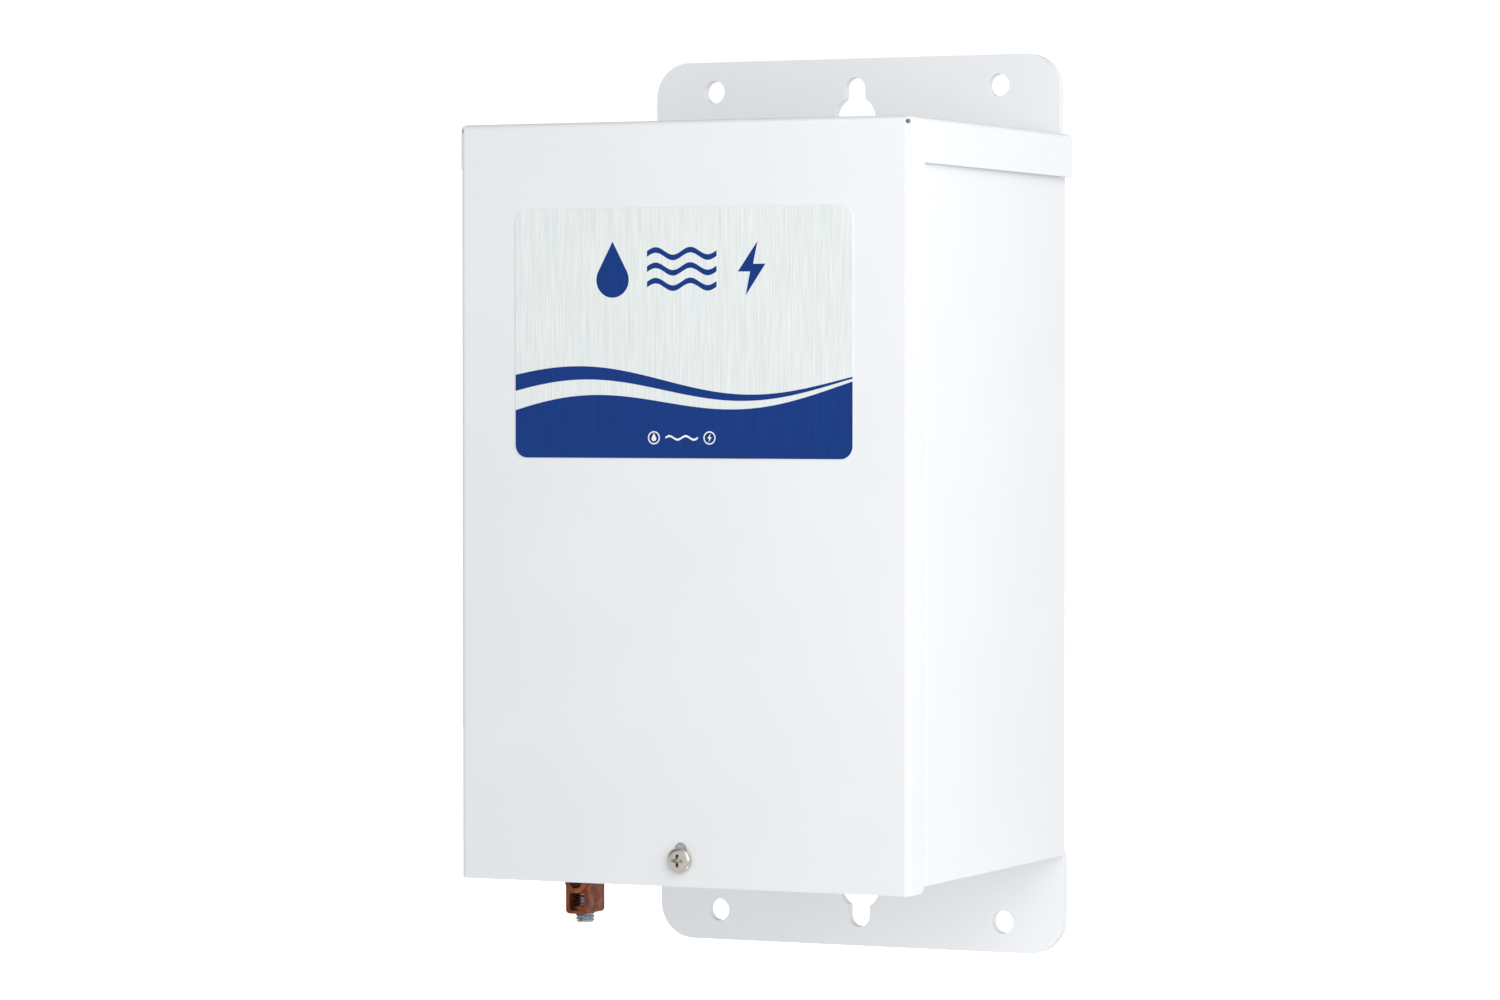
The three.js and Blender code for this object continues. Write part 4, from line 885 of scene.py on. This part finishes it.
def make_lug():
    low, high = span("ground_lug")
    x = middle("ground_lug").x
    front = low.y + LUG_COLLAR["proud"]
    y = (front + high.y) / 2
    hole_z = low.z + LUG_CHANNEL["rise"]
    window = rectangle(x - LUG_WINDOW["width"] / 2, x + LUG_WINDOW["width"] / 2,
                       low.z + LUG_WINDOW["bottom"], low.z + LUG_WINDOW["top"], 0.8, 4)
    body = prism(rounded([(low.x, low.z, LUG_BEND), (high.x, low.z, LUG_BEND), (high.x, high.z, 0.6),
                          (low.x, high.z, 0.6)], 5), "xz", front, high.y, [window])
    boss_top = low.z + LUG_WINDOW["bottom"] + LUG_BOSS["rise"]
    foot, wide, chamfer = low.z + 0.4, LUG_BOSS["radius"], LUG_BOSS["chamfer"]
    boss = lathe([(0, foot), (wide, foot), (wide, boss_top - chamfer), (wide - chamfer, boss_top),
                  (0, boss_top)], "z", x, y)
    inside = block(x - LUG_BOSS["half_width"], x + LUG_BOSS["half_width"], front, high.y, low.z, boss_top + 1)
    boss = boolean(boss, [inside], "INTERSECT")
    r, hole = LUG_COLLAR["radius"], LUG_CHANNEL["radius"]
    collar = lathe(rounded([(0, front + 0.5, 0), (r, front + 0.5, 0), (r, low.y, 0.7), (hole, low.y, 0.5),
                            (hole - 0.2, low.y + 1, 0), (0, low.y + 1, 0)], 5), "y", x, hole_z)
    above = block(x - 9, x + 9, low.y - CLEAR, high.y + CLEAR, high.z, high.z + 9)
    bore = rod("y", 2 * hole, low.y - 2, high.y + 2, x, hole_z)
    screw_bore = rod("z", LUG_SCREW_BORE["dia"], low.z - 1, low.z + LUG_SCREW_BORE["rise"], x, y)
    mount_bore = rod("z", LUG_BOLT_BORE, hole_z, high.z + 1, x, y)
    lug = cut(joined(body, boss, collar), above, bore, screw_bore, mount_bore)
    stand_in("ground_lug", lug, "copper", 0.3, 3)

    low, high = span("ground_lug_screw")
    shank = threaded("z", high.x - low.x, 1.3, low.z, high.z, x, y, 32)
    slot = block(x - 0.6, x + 0.6, low.y - 2, high.y + 2, low.z - 1, low.z + 1.5)
    stand_in("ground_lug_screw", cut(shank, slot), "zinc", 0.05, 2)

    low, high = span("lug_mounting_screw")
    head = lathe(rounded([(0, high.z - 2.4, 0), (4, high.z - 2.4, 0.2), (4, high.z, 0.9), (0, high.z, 0)], 5),
                 "z", x, y)
    head = cut(head, block(x - 0.6, x + 0.6, y - 6, y + 6, high.z - 0.9, high.z + 1))
    stand_in("lug_mounting_screw", joined(head, threaded("z", 4, 0.8, low.z, high.z - 2, x, y)), "zinc")


def make_bushing(node):
    low, high = span(node)
    place = middle(node)
    hole = CONDUIT_DIA / 2
    outer = (high.x - low.x) / 2
    bore = 8.0
    flange_top = low.z + 1.5
    snap = high.z - 4.0
    profile = rounded([
        (bore, low.z, 0.8), (outer, low.z, 0.9), (outer, flange_top, 0.2), (hole - 0.3, flange_top, 0),
        (hole - 0.3, snap, 0), (hole + 0.6, snap, 0.2), (hole - 0.6, high.z, 0.5), (bore, high.z, 0.4)], 4)
    stand_in(node, lathe(profile, "z", place.x, place.y, 64), "black_nylon")


# ------------------------------------------------------------------ transformer

TONGUE = 36.0              # width of the core's centre leg
COIL_WALL = 1.2
COIL_BUILD = 14.0


def make_back_screw(node):
    """M4 pan-head screw through the box's back."""
    low, high = span(node)
    place = middle(node)
    rise = 2.4
    stand_in(node, pan_screw(place.x, low.y + rise, place.z, 8, rise, 4, high.y, 0.8), "zinc")


def make_core():
    low, high = span("transformer_core")
    centre = middle("transformer_core")
    side = (high.x - low.x - 2 * TONGUE) / 2
    window = (high.z - low.z - TONGUE) / 2
    places = [span(f"core_bolt_{i}") for i in range(1, 5)]
    bolts = [((a.x + b.x) / 2, (a.z + b.z) / 2) for a, b in places]
    holes = [circle(x, z, 4.6, 16) for x, z in bolts]
    for way in (-1, 1):
        u = centre.x + way * (TONGUE / 2 + side / 2)
        holes.append(rectangle(u - side / 2, u + side / 2, centre.z - window, centre.z + window, 0.4, 2))
    pitch = 1.0
    sheets = []
    for k in range(round((high.y - low.y) / pitch)):
        jitter = RANDOM.uniform(0, 0.18)
        outline = rectangle(low.x + jitter, high.x - jitter, low.z + jitter, high.z - jitter)
        y = low.y + k * pitch
        sheets.append(prism(outline, "xz", y + 0.04, y + pitch - 0.04, holes))
    stand_in("transformer_core", gathered(sheets), "laminations")

    for i in range(1, 5):
        a, b = span(f"core_bolt_{i}")
        x, z = (a.x + b.x) / 2, (a.z + b.z) / 2
        head = hex_head(7.0, 3.4, a.y, x, z)
        stand_in(f"core_bolt_{i}", joined(head, threaded("y", 4, 0.8, a.y + 2, b.y, x, z)), "zinc")


def make_coils():
    low, high = span("transformer_bobbin")
    centre = middle("transformer_bobbin")
    leg_x, leg_y = TONGUE / 2 + 0.3, (span("transformer_core")[1].y - span("transformer_core")[0].y) / 2 + 0.3
    at = (centre.x, centre.y)

    def wall(z0, z1, out):
        return ring_band(leg_x, leg_y, 0.5, at, [(0, z0), (out, z0), (out, z1), (0, z1)])

    reach = COIL_WALL + COIL_BUILD + 1
    half = COIL_WALL / 2
    bobbin = joined(wall(low.z, high.z, COIL_WALL), wall(low.z, low.z + COIL_WALL, reach),
                    wall(centre.z - half, centre.z + half, reach), wall(high.z - COIL_WALL, high.z, reach))
    stand_in("transformer_bobbin", bobbin, "bobbin", 0.25, 2)

    inner, outer = COIL_WALL + 0.3, COIL_WALL + COIL_BUILD
    low, high = span("primary_winding")
    bulge = [(outer - 0.9 * abs(2 * k / 8 - 1) ** 3, low.z + (high.z - low.z) * k / 8) for k in range(9)]
    stand_in("primary_winding", ring_band(leg_x, leg_y, 0.5, at, [
        (inner, low.z), *bulge, (inner, high.z)]), "tape")

    low, high = span("secondary_winding")
    turns = 11
    pitch = (high.z - low.z) / turns
    profile = [(inner, low.z)]
    for turn in range(turns):
        for k in range(7):
            angle = math.pi * (k / 6 - 0.5)
            profile.append((outer - 0.9 + 0.9 * math.cos(angle),
                            low.z + pitch * (turn + 0.5 + 0.49 * math.sin(angle))))
    profile.append((inner, high.z))
    stand_in("secondary_winding", ring_band(leg_x, leg_y, 0.5, at, profile), "enamel")


def make_transformer_bracket(node, way):
    low, high = span(node)
    sheet = 1.6
    bend = 2.4
    inner_end = low.x if way > 0 else high.x
    foot_end = high.x if way > 0 else low.x
    web = foot_end - way * 17.0
    front, back = low.y, high.y
    profile = rounded([
        (inner_end, front, 0), (web, front, bend), (web, back - sheet, bend - sheet),
        (foot_end, back - sheet, 0), (foot_end, back, 0), (web - way * sheet, back, bend),
        (web - way * sheet, front + sheet, bend - sheet), (inner_end, front + sheet, 0)], 5)
    tools = []
    for i in range(1, 5):
        for screw in (f"core_bolt_{i}", f"transformer_screw_{i}"):
            place = middle(screw)
            tools.append(rod("y", 4.6, low.y - 9, high.y + 9, place.x, place.z, 20))
    stand_in(node, cut(prism(profile, "xy", low.z, high.z), *tools), "zinc", 0.2, 2)


# ------------------------------------------------------------------ power board

def make_board():
    low, high = span("power_board")
    places = [(middle(f"board_screw_{i}").x, middle(f"board_screw_{i}").z) for i in range(1, 5)]
    holes = [circle(x, z, 3.4, 24) for x, z in places]
    board = prism(rectangle(low.x, high.x, low.z, high.z, 1.5, 6), "xz", low.y, high.y, holes)
    stand_in("power_board", board, "mask", 0.1, 2)
    rings = [prism(circle(x, z, 7.4, 32), "xz", low.y - 0.05, low.y + 0.05, [circle(x, z, 3.6, 24)])
             for x, z in places]
    piece("board_ground_pads", gathered(rings), "track")
    for i in range(1, 5):
        low_s, high_s = span(f"board_standoff_{i}")
        x, z = places[i - 1]
        back = high_s.y - 1.5
        post = cut(joined(hexagon("y", 5.7, low_s.y, back, x, z),
                          threaded("y", 3.8, 0.7, back - 0.4, high_s.y, x, z)),
                   rod("y", 3.0, low_s.y - 1, low_s.y + 8, x, z))
        stand_in(f"board_standoff_{i}", post, "zinc", 0.15, 2)
        low_b, high_b = span(f"board_screw_{i}")
        stand_in(f"board_screw_{i}", pan_screw(x, low_b.y + 1.9, z, 5.8, 1.9, 2.9, high_b.y, 0.6), "zinc")


def make_board_parts():
    """Tracks, small parts and printed outlines between the board's big ones."""
    low, high = span("power_board")
    face = low.y
    tracks = []
    for start, turn, end, width in (
            ((-60, -92), (-40, -112), (-40, -118), 2.4), ((-20, -96), (2, -96), (14, -112), 3.0),
            ((60, -84), (60, -112), (58, -118), 3.0), ((36, -84), (36, -104), (44, -118), 3.0),
            ((-66, -50), (-72, -60), (-72, -120), 1.6), ((70, -50), (73, -56), (73, -124), 1.6),
            ((0, -44), (20, -44), (27, -52), 1.2), ((4, -100), (30, -100), (34, -104), 1.2)):
        for a, b in ((start, turn), (turn, end)):
            one, two = Vector(a), Vector(b)
            side = (two - one).normalized().orthogonal() * width / 2
            tracks.append(prism([one + side, one - side, two - side, two + side], "xz",
                                face - 0.04, face + 0.02))
    piece("board_tracks", gathered(tracks), "track")

    bodies, bands, leads = [], [], []
    for x, z, way in ((4, -58, "z"), (9.5, -58, "z"), (15, -58, "z"), (20.5, -58, "z"), (-2, -108, "x"),
                      (14, -92, "x"), (14, -86, "x")):
        axis, u, v = ("z", x, face - 1.7) if way == "z" else ("x", face - 1.7, z)
        along = z if way == "z" else x
        swell = [(0, along - 3.4), (1.25, along - 3.4), (1.05, along - 1.6), (1.05, along + 1.6),
                 (1.25, along + 3.4), (0, along + 3.4)]
        bodies.append(lathe(rounded([(r, p, 0.4 if 0 < r else 0) for r, p in swell], 3), axis, u, v, 20))
        for offset in (-2.2, -0.9, 0.4, 2.2):
            bands.append(rod(axis, 2.5, along + offset - 0.25, along + offset + 0.25, u, v, 20))
        for end in (-1, 1):
            tip = Vector((0, 0, 5.2 * end)) if way == "z" else Vector((5.2 * end, 0, 0))
            mid = Vector((x, face - 1.7, z))
            leads.append(tube([mid + tip * 0.6, mid + tip * 0.92, mid + tip + Vector((0, 0.6, 0)),
                               mid + tip + Vector((0, 1.9, 0))], 0.6, 4))
    piece("board_resistors", gathered(bodies), "tan")
    piece("board_resistor_bands", gathered(bands), "red_band")
    piece("board_resistor_leads", gathered(leads), "tin")

    chip = (20, -72)
    chip_body = block(chip[0] - 5, chip[0] + 5, face - 3.4, face - 0.5, chip[1] - 3.2, chip[1] + 3.2)
    notch = rod("y", 1.6, face - 4, face - 3.1, chip[0] - 5, chip[1], 20)
    piece("board_chip", cut(chip_body, notch), "black_plastic", bevel=0.25)
    legs = []
    for k in range(4):
        for side in (-1, 1):
            x = chip[0] - 3.81 + 2.54 * k
            z = chip[1] + side * 3.9
            legs.append(block(x - 0.5, x + 0.5, face - 1.9, face - 0.02, z - 0.15, z + 0.15))
            legs.append(block(x - 0.5, x + 0.5, face - 2.1, face - 1.8, min(z, z - side * 0.9),
                              max(z, z - side * 0.9)))
    piece("board_chip_legs", gathered(legs), "tin")

    cans, tops = [], []
    for x, z, dia, tall in ((28, -50, 8, 11), (6, -76, 6.3, 9), (68, -100, 8, 12)):
        front = face - tall
        r = dia / 2
        cans.append(lathe(rounded([(0, face - 0.3, 0), (r, face - 0.3, 0.3), (r, face - 1.6, 0.3),
                                   (r - 0.35, face - 2.1, 0.3), (r, face - 2.7, 0.3), (r, front, 0.6),
                                   (r - 0.9, front, 0.1), (r - 1.0, front + 0.3, 0), (0, front + 0.3, 0)], 4),
                          "y", x, z, 40))
        top = rod("y", dia - 2.0, front + 0.1, front + 0.5, x, z, 40)
        tops.append(cut(top, block(x - r, x + r, front - 1, front + 0.25, z - 0.2, z + 0.2),
                        block(x - 0.2, x + 0.2, front - 1, front + 0.25, z - r, z + r)))
    piece("board_small_capacitors", gathered(cans), "sleeve")
    piece("board_small_capacitor_tops", gathered(tops), "bare_aluminium")

    diodes, marks = [], []
    for x in (-62, -54):
        diodes.append(rod("x", 2.7, x - 2.6, x + 2.6, face - 1.9, -104, 24))
        marks.append(rod("x", 2.76, x + 1.2, x + 2.0, face - 1.9, -104, 24))
    piece("board_diodes", gathered(diodes), "black_plastic", bevel=0.25)
    piece("board_diode_marks", gathered(marks), "tin")

    line = 0.35
    skin = (face - 0.03, face + 0.02)
    a, b = span("filter_capacitor")
    place = middle("filter_capacitor")
    dia = b.x - a.x + 2.4
    outlines = [prism(circle(place.x, place.z, dia, 64), "xz", *skin,
                      [circle(place.x, place.z, dia - 2 * line, 64)])]
    for node in ("relay", "terminal_block", "cell_connector", "fuse_holder"):
        a, b = span(node)
        left, right, top = a.x - 1, b.x + 1, b.z + 1
        bottom = max(a.z - 1, low.z + 0.5)
        outlines.append(prism(rectangle(left, right, bottom, top), "xz", *skin,
                              [rectangle(left + line, right - line, bottom + line, top - line)]))
    piece("board_outlines", gathered(outlines), "silk")


def make_heatsink():
    low, high = span("heatsink")
    base, fin, pitch, fins = 3.0, 1.6, 5.4, 6
    root = high.y - base
    corners = [(low.x, high.y, 0), (high.x, high.y, 0), (high.x, root, 0)]
    for k in reversed(range(fins)):
        x = low.x + k * pitch
        corners += [(x + fin, root, 0.8), (x + fin, low.y, 0.6), (x, low.y, 0.6)]
        if k:
            corners.append((x, root, 0.8))
    sink = prism(rounded(corners, 4), "xy", low.z, high.z)
    screw = middle("rectifier_screw")
    bore = rod("y", 3.6, low.y - 1, high.y + 1, screw.x, screw.z)
    stand_in("heatsink", cut(sink, bore), "aluminium", 0.12, 2)

    low, high = span("bridge_rectifier")
    depth = 9.0
    front = high.y - depth
    chamfer = 5.0
    outline = rounded([(low.x, low.z, 0.6), (high.x, low.z, 0.6), (high.x, high.z, 0.6),
                       (low.x + chamfer, high.z, 0.4), (low.x, high.z - chamfer, 0.4)], 4)
    body = cut(prism(outline, "xz", front, high.y), rod("y", 4, front - 1, high.y + 1, screw.x, screw.z),
               lathe([(0, front - 1), (4.2, front - 1), (4.2, front), (3.2, front + 0.5), (0, front + 0.5)],
                     "y", screw.x, screw.z))
    stand_in("bridge_rectifier", body, "black_plastic", 0.35)
    blades = []
    for dx, dz in ((-8, 8), (8, 8), (-8, -8), (8, -8)):
        x, z = screw.x + dx, screw.z + dz
        outline = rounded([(front + 1, z - 2, 0), (low.y, z - 2, 0.9), (low.y, z + 2, 0.9),
                           (front + 1, z + 2, 0)], 4)
        blades.append(prism(outline, "yz", x - 0.4, x + 0.4, [circle(front - 5.0, z, 1.5, 20)]))
    piece("rectifier_blades", gathered(blades), "tin", bevel=0.08, segments=2)
    low, high = span("rectifier_screw")
    stand_in("rectifier_screw", pan_screw(screw.x, low.y + 2.2, screw.z, 6.4, 2.2, 3, high.y, 0.7), "zinc")


def make_capacitor():
    low, high = span("filter_capacitor")
    place = middle("filter_capacitor")
    x, z = place.x, place.z
    r = (high.x - low.x) / 2
    front, back = low.y, high.y
    sleeve = lathe(rounded([
        (0, back, 0), (r - 0.8, back, 0), (r, back - 0.9, 0.4), (r, back - 2.2, 0.4),
        (r - 1.0, back - 3.4, 0.6), (r, back - 4.6, 0.4), (r, front, 1.2), (r - 2.4, front, 0.2),
        (r - 2.4, front + 0.6, 0), (0, front + 0.6, 0)], 5), "y", x, z, 72)
    stand_in("filter_capacitor", sleeve, "sleeve")
    top = rod("y", 2 * (r - 2.5), front + 0.35, front + 0.9, x, z, 72)
    vents = []
    for angle in (90, 210, 330):
        vent = block(0, r - 4, front - 1, front + 0.5, -0.25, 0.25)
        bmesh.ops.rotate(vent, verts=vent.verts[:], cent=(0, 0, 0),
                         matrix=Matrix.Rotation(math.radians(angle), 3, "Y"))
        bmesh.ops.translate(vent, verts=vent.verts[:], vec=(x, 0, z))
        vents.append(vent)
    piece("filter_capacitor_top", cut(top, *vents), "bare_aluminium")
    stripe = prism([*arc(x, z, r + 0.03, 200, 236, 16), *arc(x, z, r - 0.3, 236, 200, 16)], "xz",
                   front + 2, back - 5.4)
    piece("filter_capacitor_stripe", stripe, "sleeve_stripe")


def make_relay():
    low, high = span("relay")
    outline = rectangle(low.x, high.x, low.z, high.z, 0.9, 5)
    cap = prism(outline, "xz", low.y, high.y - 1.6)
    base = prism(rectangle(low.x + 0.4, high.x - 0.4, low.z + 0.4, high.z - 0.4, 0.7, 4), "xz",
                 high.y - 1.9, high.y)
    dimple = rod("y", 2.2, low.y - 1, low.y + 0.5, low.x + 3, high.z - 3, 24)
    stand_in("relay", cut(joined(cap, base), dimple), "blue_plastic", 0.5)


def make_terminal_block():
    low, high = span("terminal_block")
    screws = [middle(f"terminal_screw_{i}") for i in range(1, 5)]
    face = low.y
    profile = rounded([(face, low.z, 0.4), (high.y, low.z, 0.4), (high.y, high.z, 0.4),
                       (face + 5, high.z, 1.2), (face + 1.4, high.z - 3.2, 0.8),
                       (face, high.z - 3.6, 0.6)], 4)
    body = prism(profile, "yz", low.x, high.x)
    tools = []
    for place in screws:
        tools.append(rod("y", 6.2, face - 1, face + 8, place.x, place.z, 32))
        tools.append(prism(rectangle(place.x - 2.6, place.x + 2.6, face + 6, face + 12, 0.5, 3), "xy",
                           low.z - 1, low.z + 12))
    for left, right in zip(screws, screws[1:]):
        x = (left.x + right.x) / 2
        tools.append(block(x - 0.3, x + 0.3, face - 1, face + 0.7, low.z - 1, high.z + 1))
    stand_in("terminal_block", cut(body, *tools), "green_plastic", 0.2, 2)
    cages = []
    for i, place in enumerate(screws, 1):
        low_s, high_s = span(f"terminal_screw_{i}")
        head = lathe(rounded([(0, low_s.y, 0), (2.7, low_s.y, 0.5), (2.7, low_s.y + 2, 0.2),
                              (0, low_s.y + 2, 0)], 4), "y", place.x, place.z, 40)
        screw = joined(head, threaded("y", 3, 0.5, low_s.y + 1.8, high_s.y, place.x, place.z))
        screw = cut(screw, block(place.x - 0.45, place.x + 0.45, low_s.y - 1, low_s.y + 0.9,
                                 place.z - 4, place.z + 4))
        stand_in(f"terminal_screw_{i}", screw, "zinc")
        cages.append(prism(rectangle(place.x - 2.4, place.x + 2.4, face + 7.9, face + 11.8), "xy",
                           low.z + 1.2, low.z + 11.5,
                           [rectangle(place.x - 1.9, place.x + 1.9, face + 8.4, face + 11.3)]))
    piece("terminal_cages", gathered(cages), "tin", bevel=0.1, segments=2)


def make_fuse():
    low, high = span("fuse_holder")
    fuse_low, fuse_high = span("fuse")
    x, z = middle("fuse").x, middle("fuse").z
    axis_y = (fuse_low.y + fuse_high.y) / 2
    base = block(low.x, high.x, high.y - 2, high.y, low.z, high.z)
    stand_in("fuse_holder", base, "black_plastic", 0.3)
    clips = []
    for way in (-1, 1):
        at = x + way * 7
        for side in (-1, 1):
            outer = [(-3.3, 0.6), (-2.4, 0.1), (0.0, 1.05), (2.2, 0.5), (5.4, 0.7)]
            line = [(axis_y + dy, z + side * (2.3 + out)) for dy, out in outer]
            other = [(v, w + side * 0.4) for v, w in line]
            clips.append(prism(line + other[::-1], "yz", at - 2, at + 2))
    piece("fuse_clips", gathered(clips), "brass", bevel=0.08, segments=2)
    caps = []
    for way in (-1, 1):
        end = x + way * 10
        profile = rounded([(0, end, 0), (2.6, end, 0.5), (2.6, end - way * 5, 0.1), (2.2, end - way * 5, 0),
                           (2.2, end - way * 4.6, 0), (0, end - way * 4.6, 0)], 4)
        caps.append(lathe(profile, "x", axis_y, z, 40))
    stand_in("fuse", gathered(caps), "tin")
    glass = lathe([(1.75, x - 5.4), (2.15, x - 5.4), (2.15, x + 5.4), (1.75, x + 5.4)], "x", axis_y, z, 40)
    piece("fuse_tube", glass, "glass", BODY_OF["fuse"])
    wire = tube([(x - 5.6, axis_y, z), (x, axis_y + 0.3, z + 0.2), (x + 5.6, axis_y, z)], 0.35, 6)
    piece("fuse_element", wire, "tin", BODY_OF["fuse"])


def make_connector():
    low, high = span("cell_connector")
    x, z = middle("cell_connector").x, middle("cell_connector").z
    housing = prism(rectangle(low.x, high.x, low.z, high.z, 1.0, 5), "xz", low.y, high.y)
    latch = prism(rectangle(x - 4, x + 4, high.z - 0.4, high.z + 1.2, 0.5, 4), "xz", low.y + 3, high.y - 3)
    sockets, pins = [], []
    for dx in (-9, -3, 3, 9):
        sockets.append(prism(rectangle(x + dx - 1.6, x + dx + 1.6, z - 4, z + 4, 0.4, 3), "xz",
                             low.y - 1, high.y - 6))
        pins.append(block(x + dx - 0.4, x + dx + 0.4, low.y + 2, high.y - 5, z - 1.6, z + 1.6))
    stand_in("cell_connector", cut(joined(housing, latch), *sockets), "white_nylon", 0.25, 2)
    piece("connector_pins", gathered(pins), "tin", bevel=0.12, segments=2)


# ------------------------------------------------------------------ wiring

LEAD_DIA = 2.6
LEADS = {
    "primary_lead_1": ("black_wire", [
        (-56.25, -29, -131), (-56.25, -29, -145), (-52, -60, -152), (-43, -92, -172),
        (-27, -101, -204), (-18, -99, -224), (-18, -92.9, -227)]),
    "primary_lead_2": ("white_wire", [
        (-46.75, -29, -131), (-46.75, -29, -145), (-42, -60, -153), (-30, -93, -175),
        (-13, -101, -206), (-6, -99, -227), (-6, -92.9, -230)]),
    "secondary_lead_1": ("red_wire", [
        (10, -92.9, -200), (10, -100, -197), (6, -97, -170), (-4, -80, -140),
        (-12, -64, -104), (-13, -53, -76), (-13, -41, -70)]),
    "secondary_lead_2": ("red_wire", [
        (22, -92.9, -200), (22, -101, -197), (12, -98, -162), (-10, -84, -126),
        (-26, -65, -96), (-29, -54, -76), (-29, -41, -70)]),
    "ground_wire": ("green_wire", [
        (-37.25, -29, -131), (-37.25, -29, -147), (-20, -27, -156), (20, -20, -160),
        (56, -10.5, -160), (67.6, -8.5, -160)]),
}


def make_wiring():
    for node, (finish, points) in LEADS.items():
        stand_in(node, tube(points, LEAD_DIA, 12), finish)

    low, high = span("ground_screw")
    x, z = middle("ground_screw").x, middle("ground_screw").z
    head = hex_head(7.6, 3.6, low.y, x, z)
    head = cut(head, block(x - 0.6, x + 0.6, low.y - 1, low.y + 1.2, z - 6, z + 6))
    stand_in("ground_screw", joined(head, threaded("y", 5, 0.8, low.y + 2, high.y, x, z)), "green_plastic")

    low, high = span("ground_ring_terminal")
    eye = high.y - 1
    ring = cut(rod("y", 10, eye, high.y, x, z, 48), rod("y", 5.6, eye - 1, high.y + 1, x, z))
    neck = block(x - 7.4, x - 4, eye, high.y, z - 1.8, z + 1.8)
    barrel = cut(rod("x", 3.8, x - 12, x - 6.5, eye + 0.2, z, 24),
                 rod("x", 2.7, x - 13, x - 8, eye + 0.2, z, 24))
    terminal = boolean(joined(ring, neck, barrel), [block(x - 20, x + 20, low.y, high.y, z - 20, z + 20)],
                       "INTERSECT")
    stand_in("ground_ring_terminal", terminal, "tin", 0.12, 2)


# ------------------------------------------------------------------ build

make_cover()
make_label()
make_box()
make_bracket("upper_bracket", 1)
make_bracket("lower_bracket", -1)
make_cover_screw()
make_lug()
make_bushing("supply_bushing")
make_bushing("cell_lead_bushing")
make_core()
make_coils()
make_transformer_bracket("transformer_bracket_left", -1)
make_transformer_bracket("transformer_bracket_right", 1)
make_board()
make_board_parts()
make_heatsink()
make_capacitor()
make_relay()
make_terminal_block()
make_fuse()
make_connector()
make_wiring()

for number in range(1, 5):
    make_back_screw(f"bracket_screw_{number}")
    make_back_screw(f"transformer_screw_{number}")


# ------------------------------------------------------------------ stage and lights

STUDIO_RADIUS = 9.0        # metres, as everything in this section
FLOOR_LEVEL = -0.8
BOX_MIDDLE = (0, -0.09, -0.14)
LOWER_BRACKET = (0.06, 0, -0.34)


def make_floor():
    material = Finish("studio_floor", (0.9, 0.9, 0.9), 0.7)
    material.set("Emission Color", (1.0, 1.0, 1.0, 1.0))
    material.set("Emission Strength", 1.2)
    disc = bmesh.new()
    bmesh.ops.create_circle(disc, cap_ends=True, segments=96, radius=STUDIO_RADIUS)
    floor = placed("floor", disc, material.material)
    floor.location = (0, 0, FLOOR_LEVEL)
    floor.visible_diffuse = False
    floor.visible_glossy = False


def make_backdrop():
    material = bpy.data.materials.new("backdrop_white")
    material.use_nodes = True
    nodes = material.node_tree.nodes
    nodes.clear()
    emission = nodes.new("ShaderNodeEmission")
    emission.inputs["Strength"].default_value = 1.1
    output = nodes.new("ShaderNodeOutputMaterial")
    material.node_tree.links.new(emission.outputs[0], output.inputs["Surface"])
    ball = bmesh.new()
    bmesh.ops.create_uvsphere(ball, u_segments=48, v_segments=24, radius=STUDIO_RADIUS)
    dome = placed("backdrop", ball, material)
    dome.visible_diffuse = False
    dome.visible_glossy = False
    dome.visible_transmission = False
    dome.visible_shadow = False


def softbox(name, target, azimuth, elevation, distance, size, power):
    """Area light aimed at a point; azimuth 0 is straight in front and positive towards +X."""
    a, e = math.radians(azimuth), math.radians(elevation)
    out = Vector((math.sin(a) * math.cos(e), -math.cos(a) * math.cos(e), math.sin(e)))
    data = bpy.data.lights.new(name, "AREA")
    data.shape = "RECTANGLE"
    data.size, data.size_y = size
    data.energy = power
    light = bpy.data.objects.new(name, data)
    light.location = Vector(target) + out * distance
    light.rotation_euler = out.to_track_quat("Z", "Y").to_euler()
    bpy.context.collection.objects.link(light)


def make_world():
    """White all round, but darker high up on the left."""
    world = bpy.data.worlds.new("studio")
    world.use_nodes = True
    nodes, links = world.node_tree.nodes, world.node_tree.links
    background = nodes["Background"]
    background.inputs["Color"].default_value = (0.99, 0.995, 1.0, 1.0)
    towards = nodes.new("ShaderNodeVectorMath")
    towards.operation = "DOT_PRODUCT"
    towards.inputs[1].default_value = Vector((-0.55, 0.25, 0.8)).normalized()
    fade = nodes.new("ShaderNodeMapRange")
    for socket, number in {"From Min": 0.45, "From Max": 0.85, "To Min": 0.82, "To Max": 0.1}.items():
        fade.inputs[socket].default_value = number
    links.new(nodes.new("ShaderNodeTexCoord").outputs["Generated"], towards.inputs[0])
    links.new(towards.outputs["Value"], fade.inputs["Value"])
    links.new(fade.outputs["Result"], background.inputs["Strength"])
    bpy.context.scene.world = world


def make_lights():
    make_world()
    softbox("right_key", BOX_MIDDLE, 50, 18, 0.9, (0.6, 0.9), 3.8)
    softbox("right_top", BOX_MIDDLE, 92, 50, 0.9, (0.6, 0.9), 0.5)
    softbox("under_glow", LOWER_BRACKET, 35, -40, 0.3, (0.1, 0.1), 0.12)


make_floor()
make_backdrop()
make_lights()
bpy.context.scene.view_settings.view_transform = "Standard"
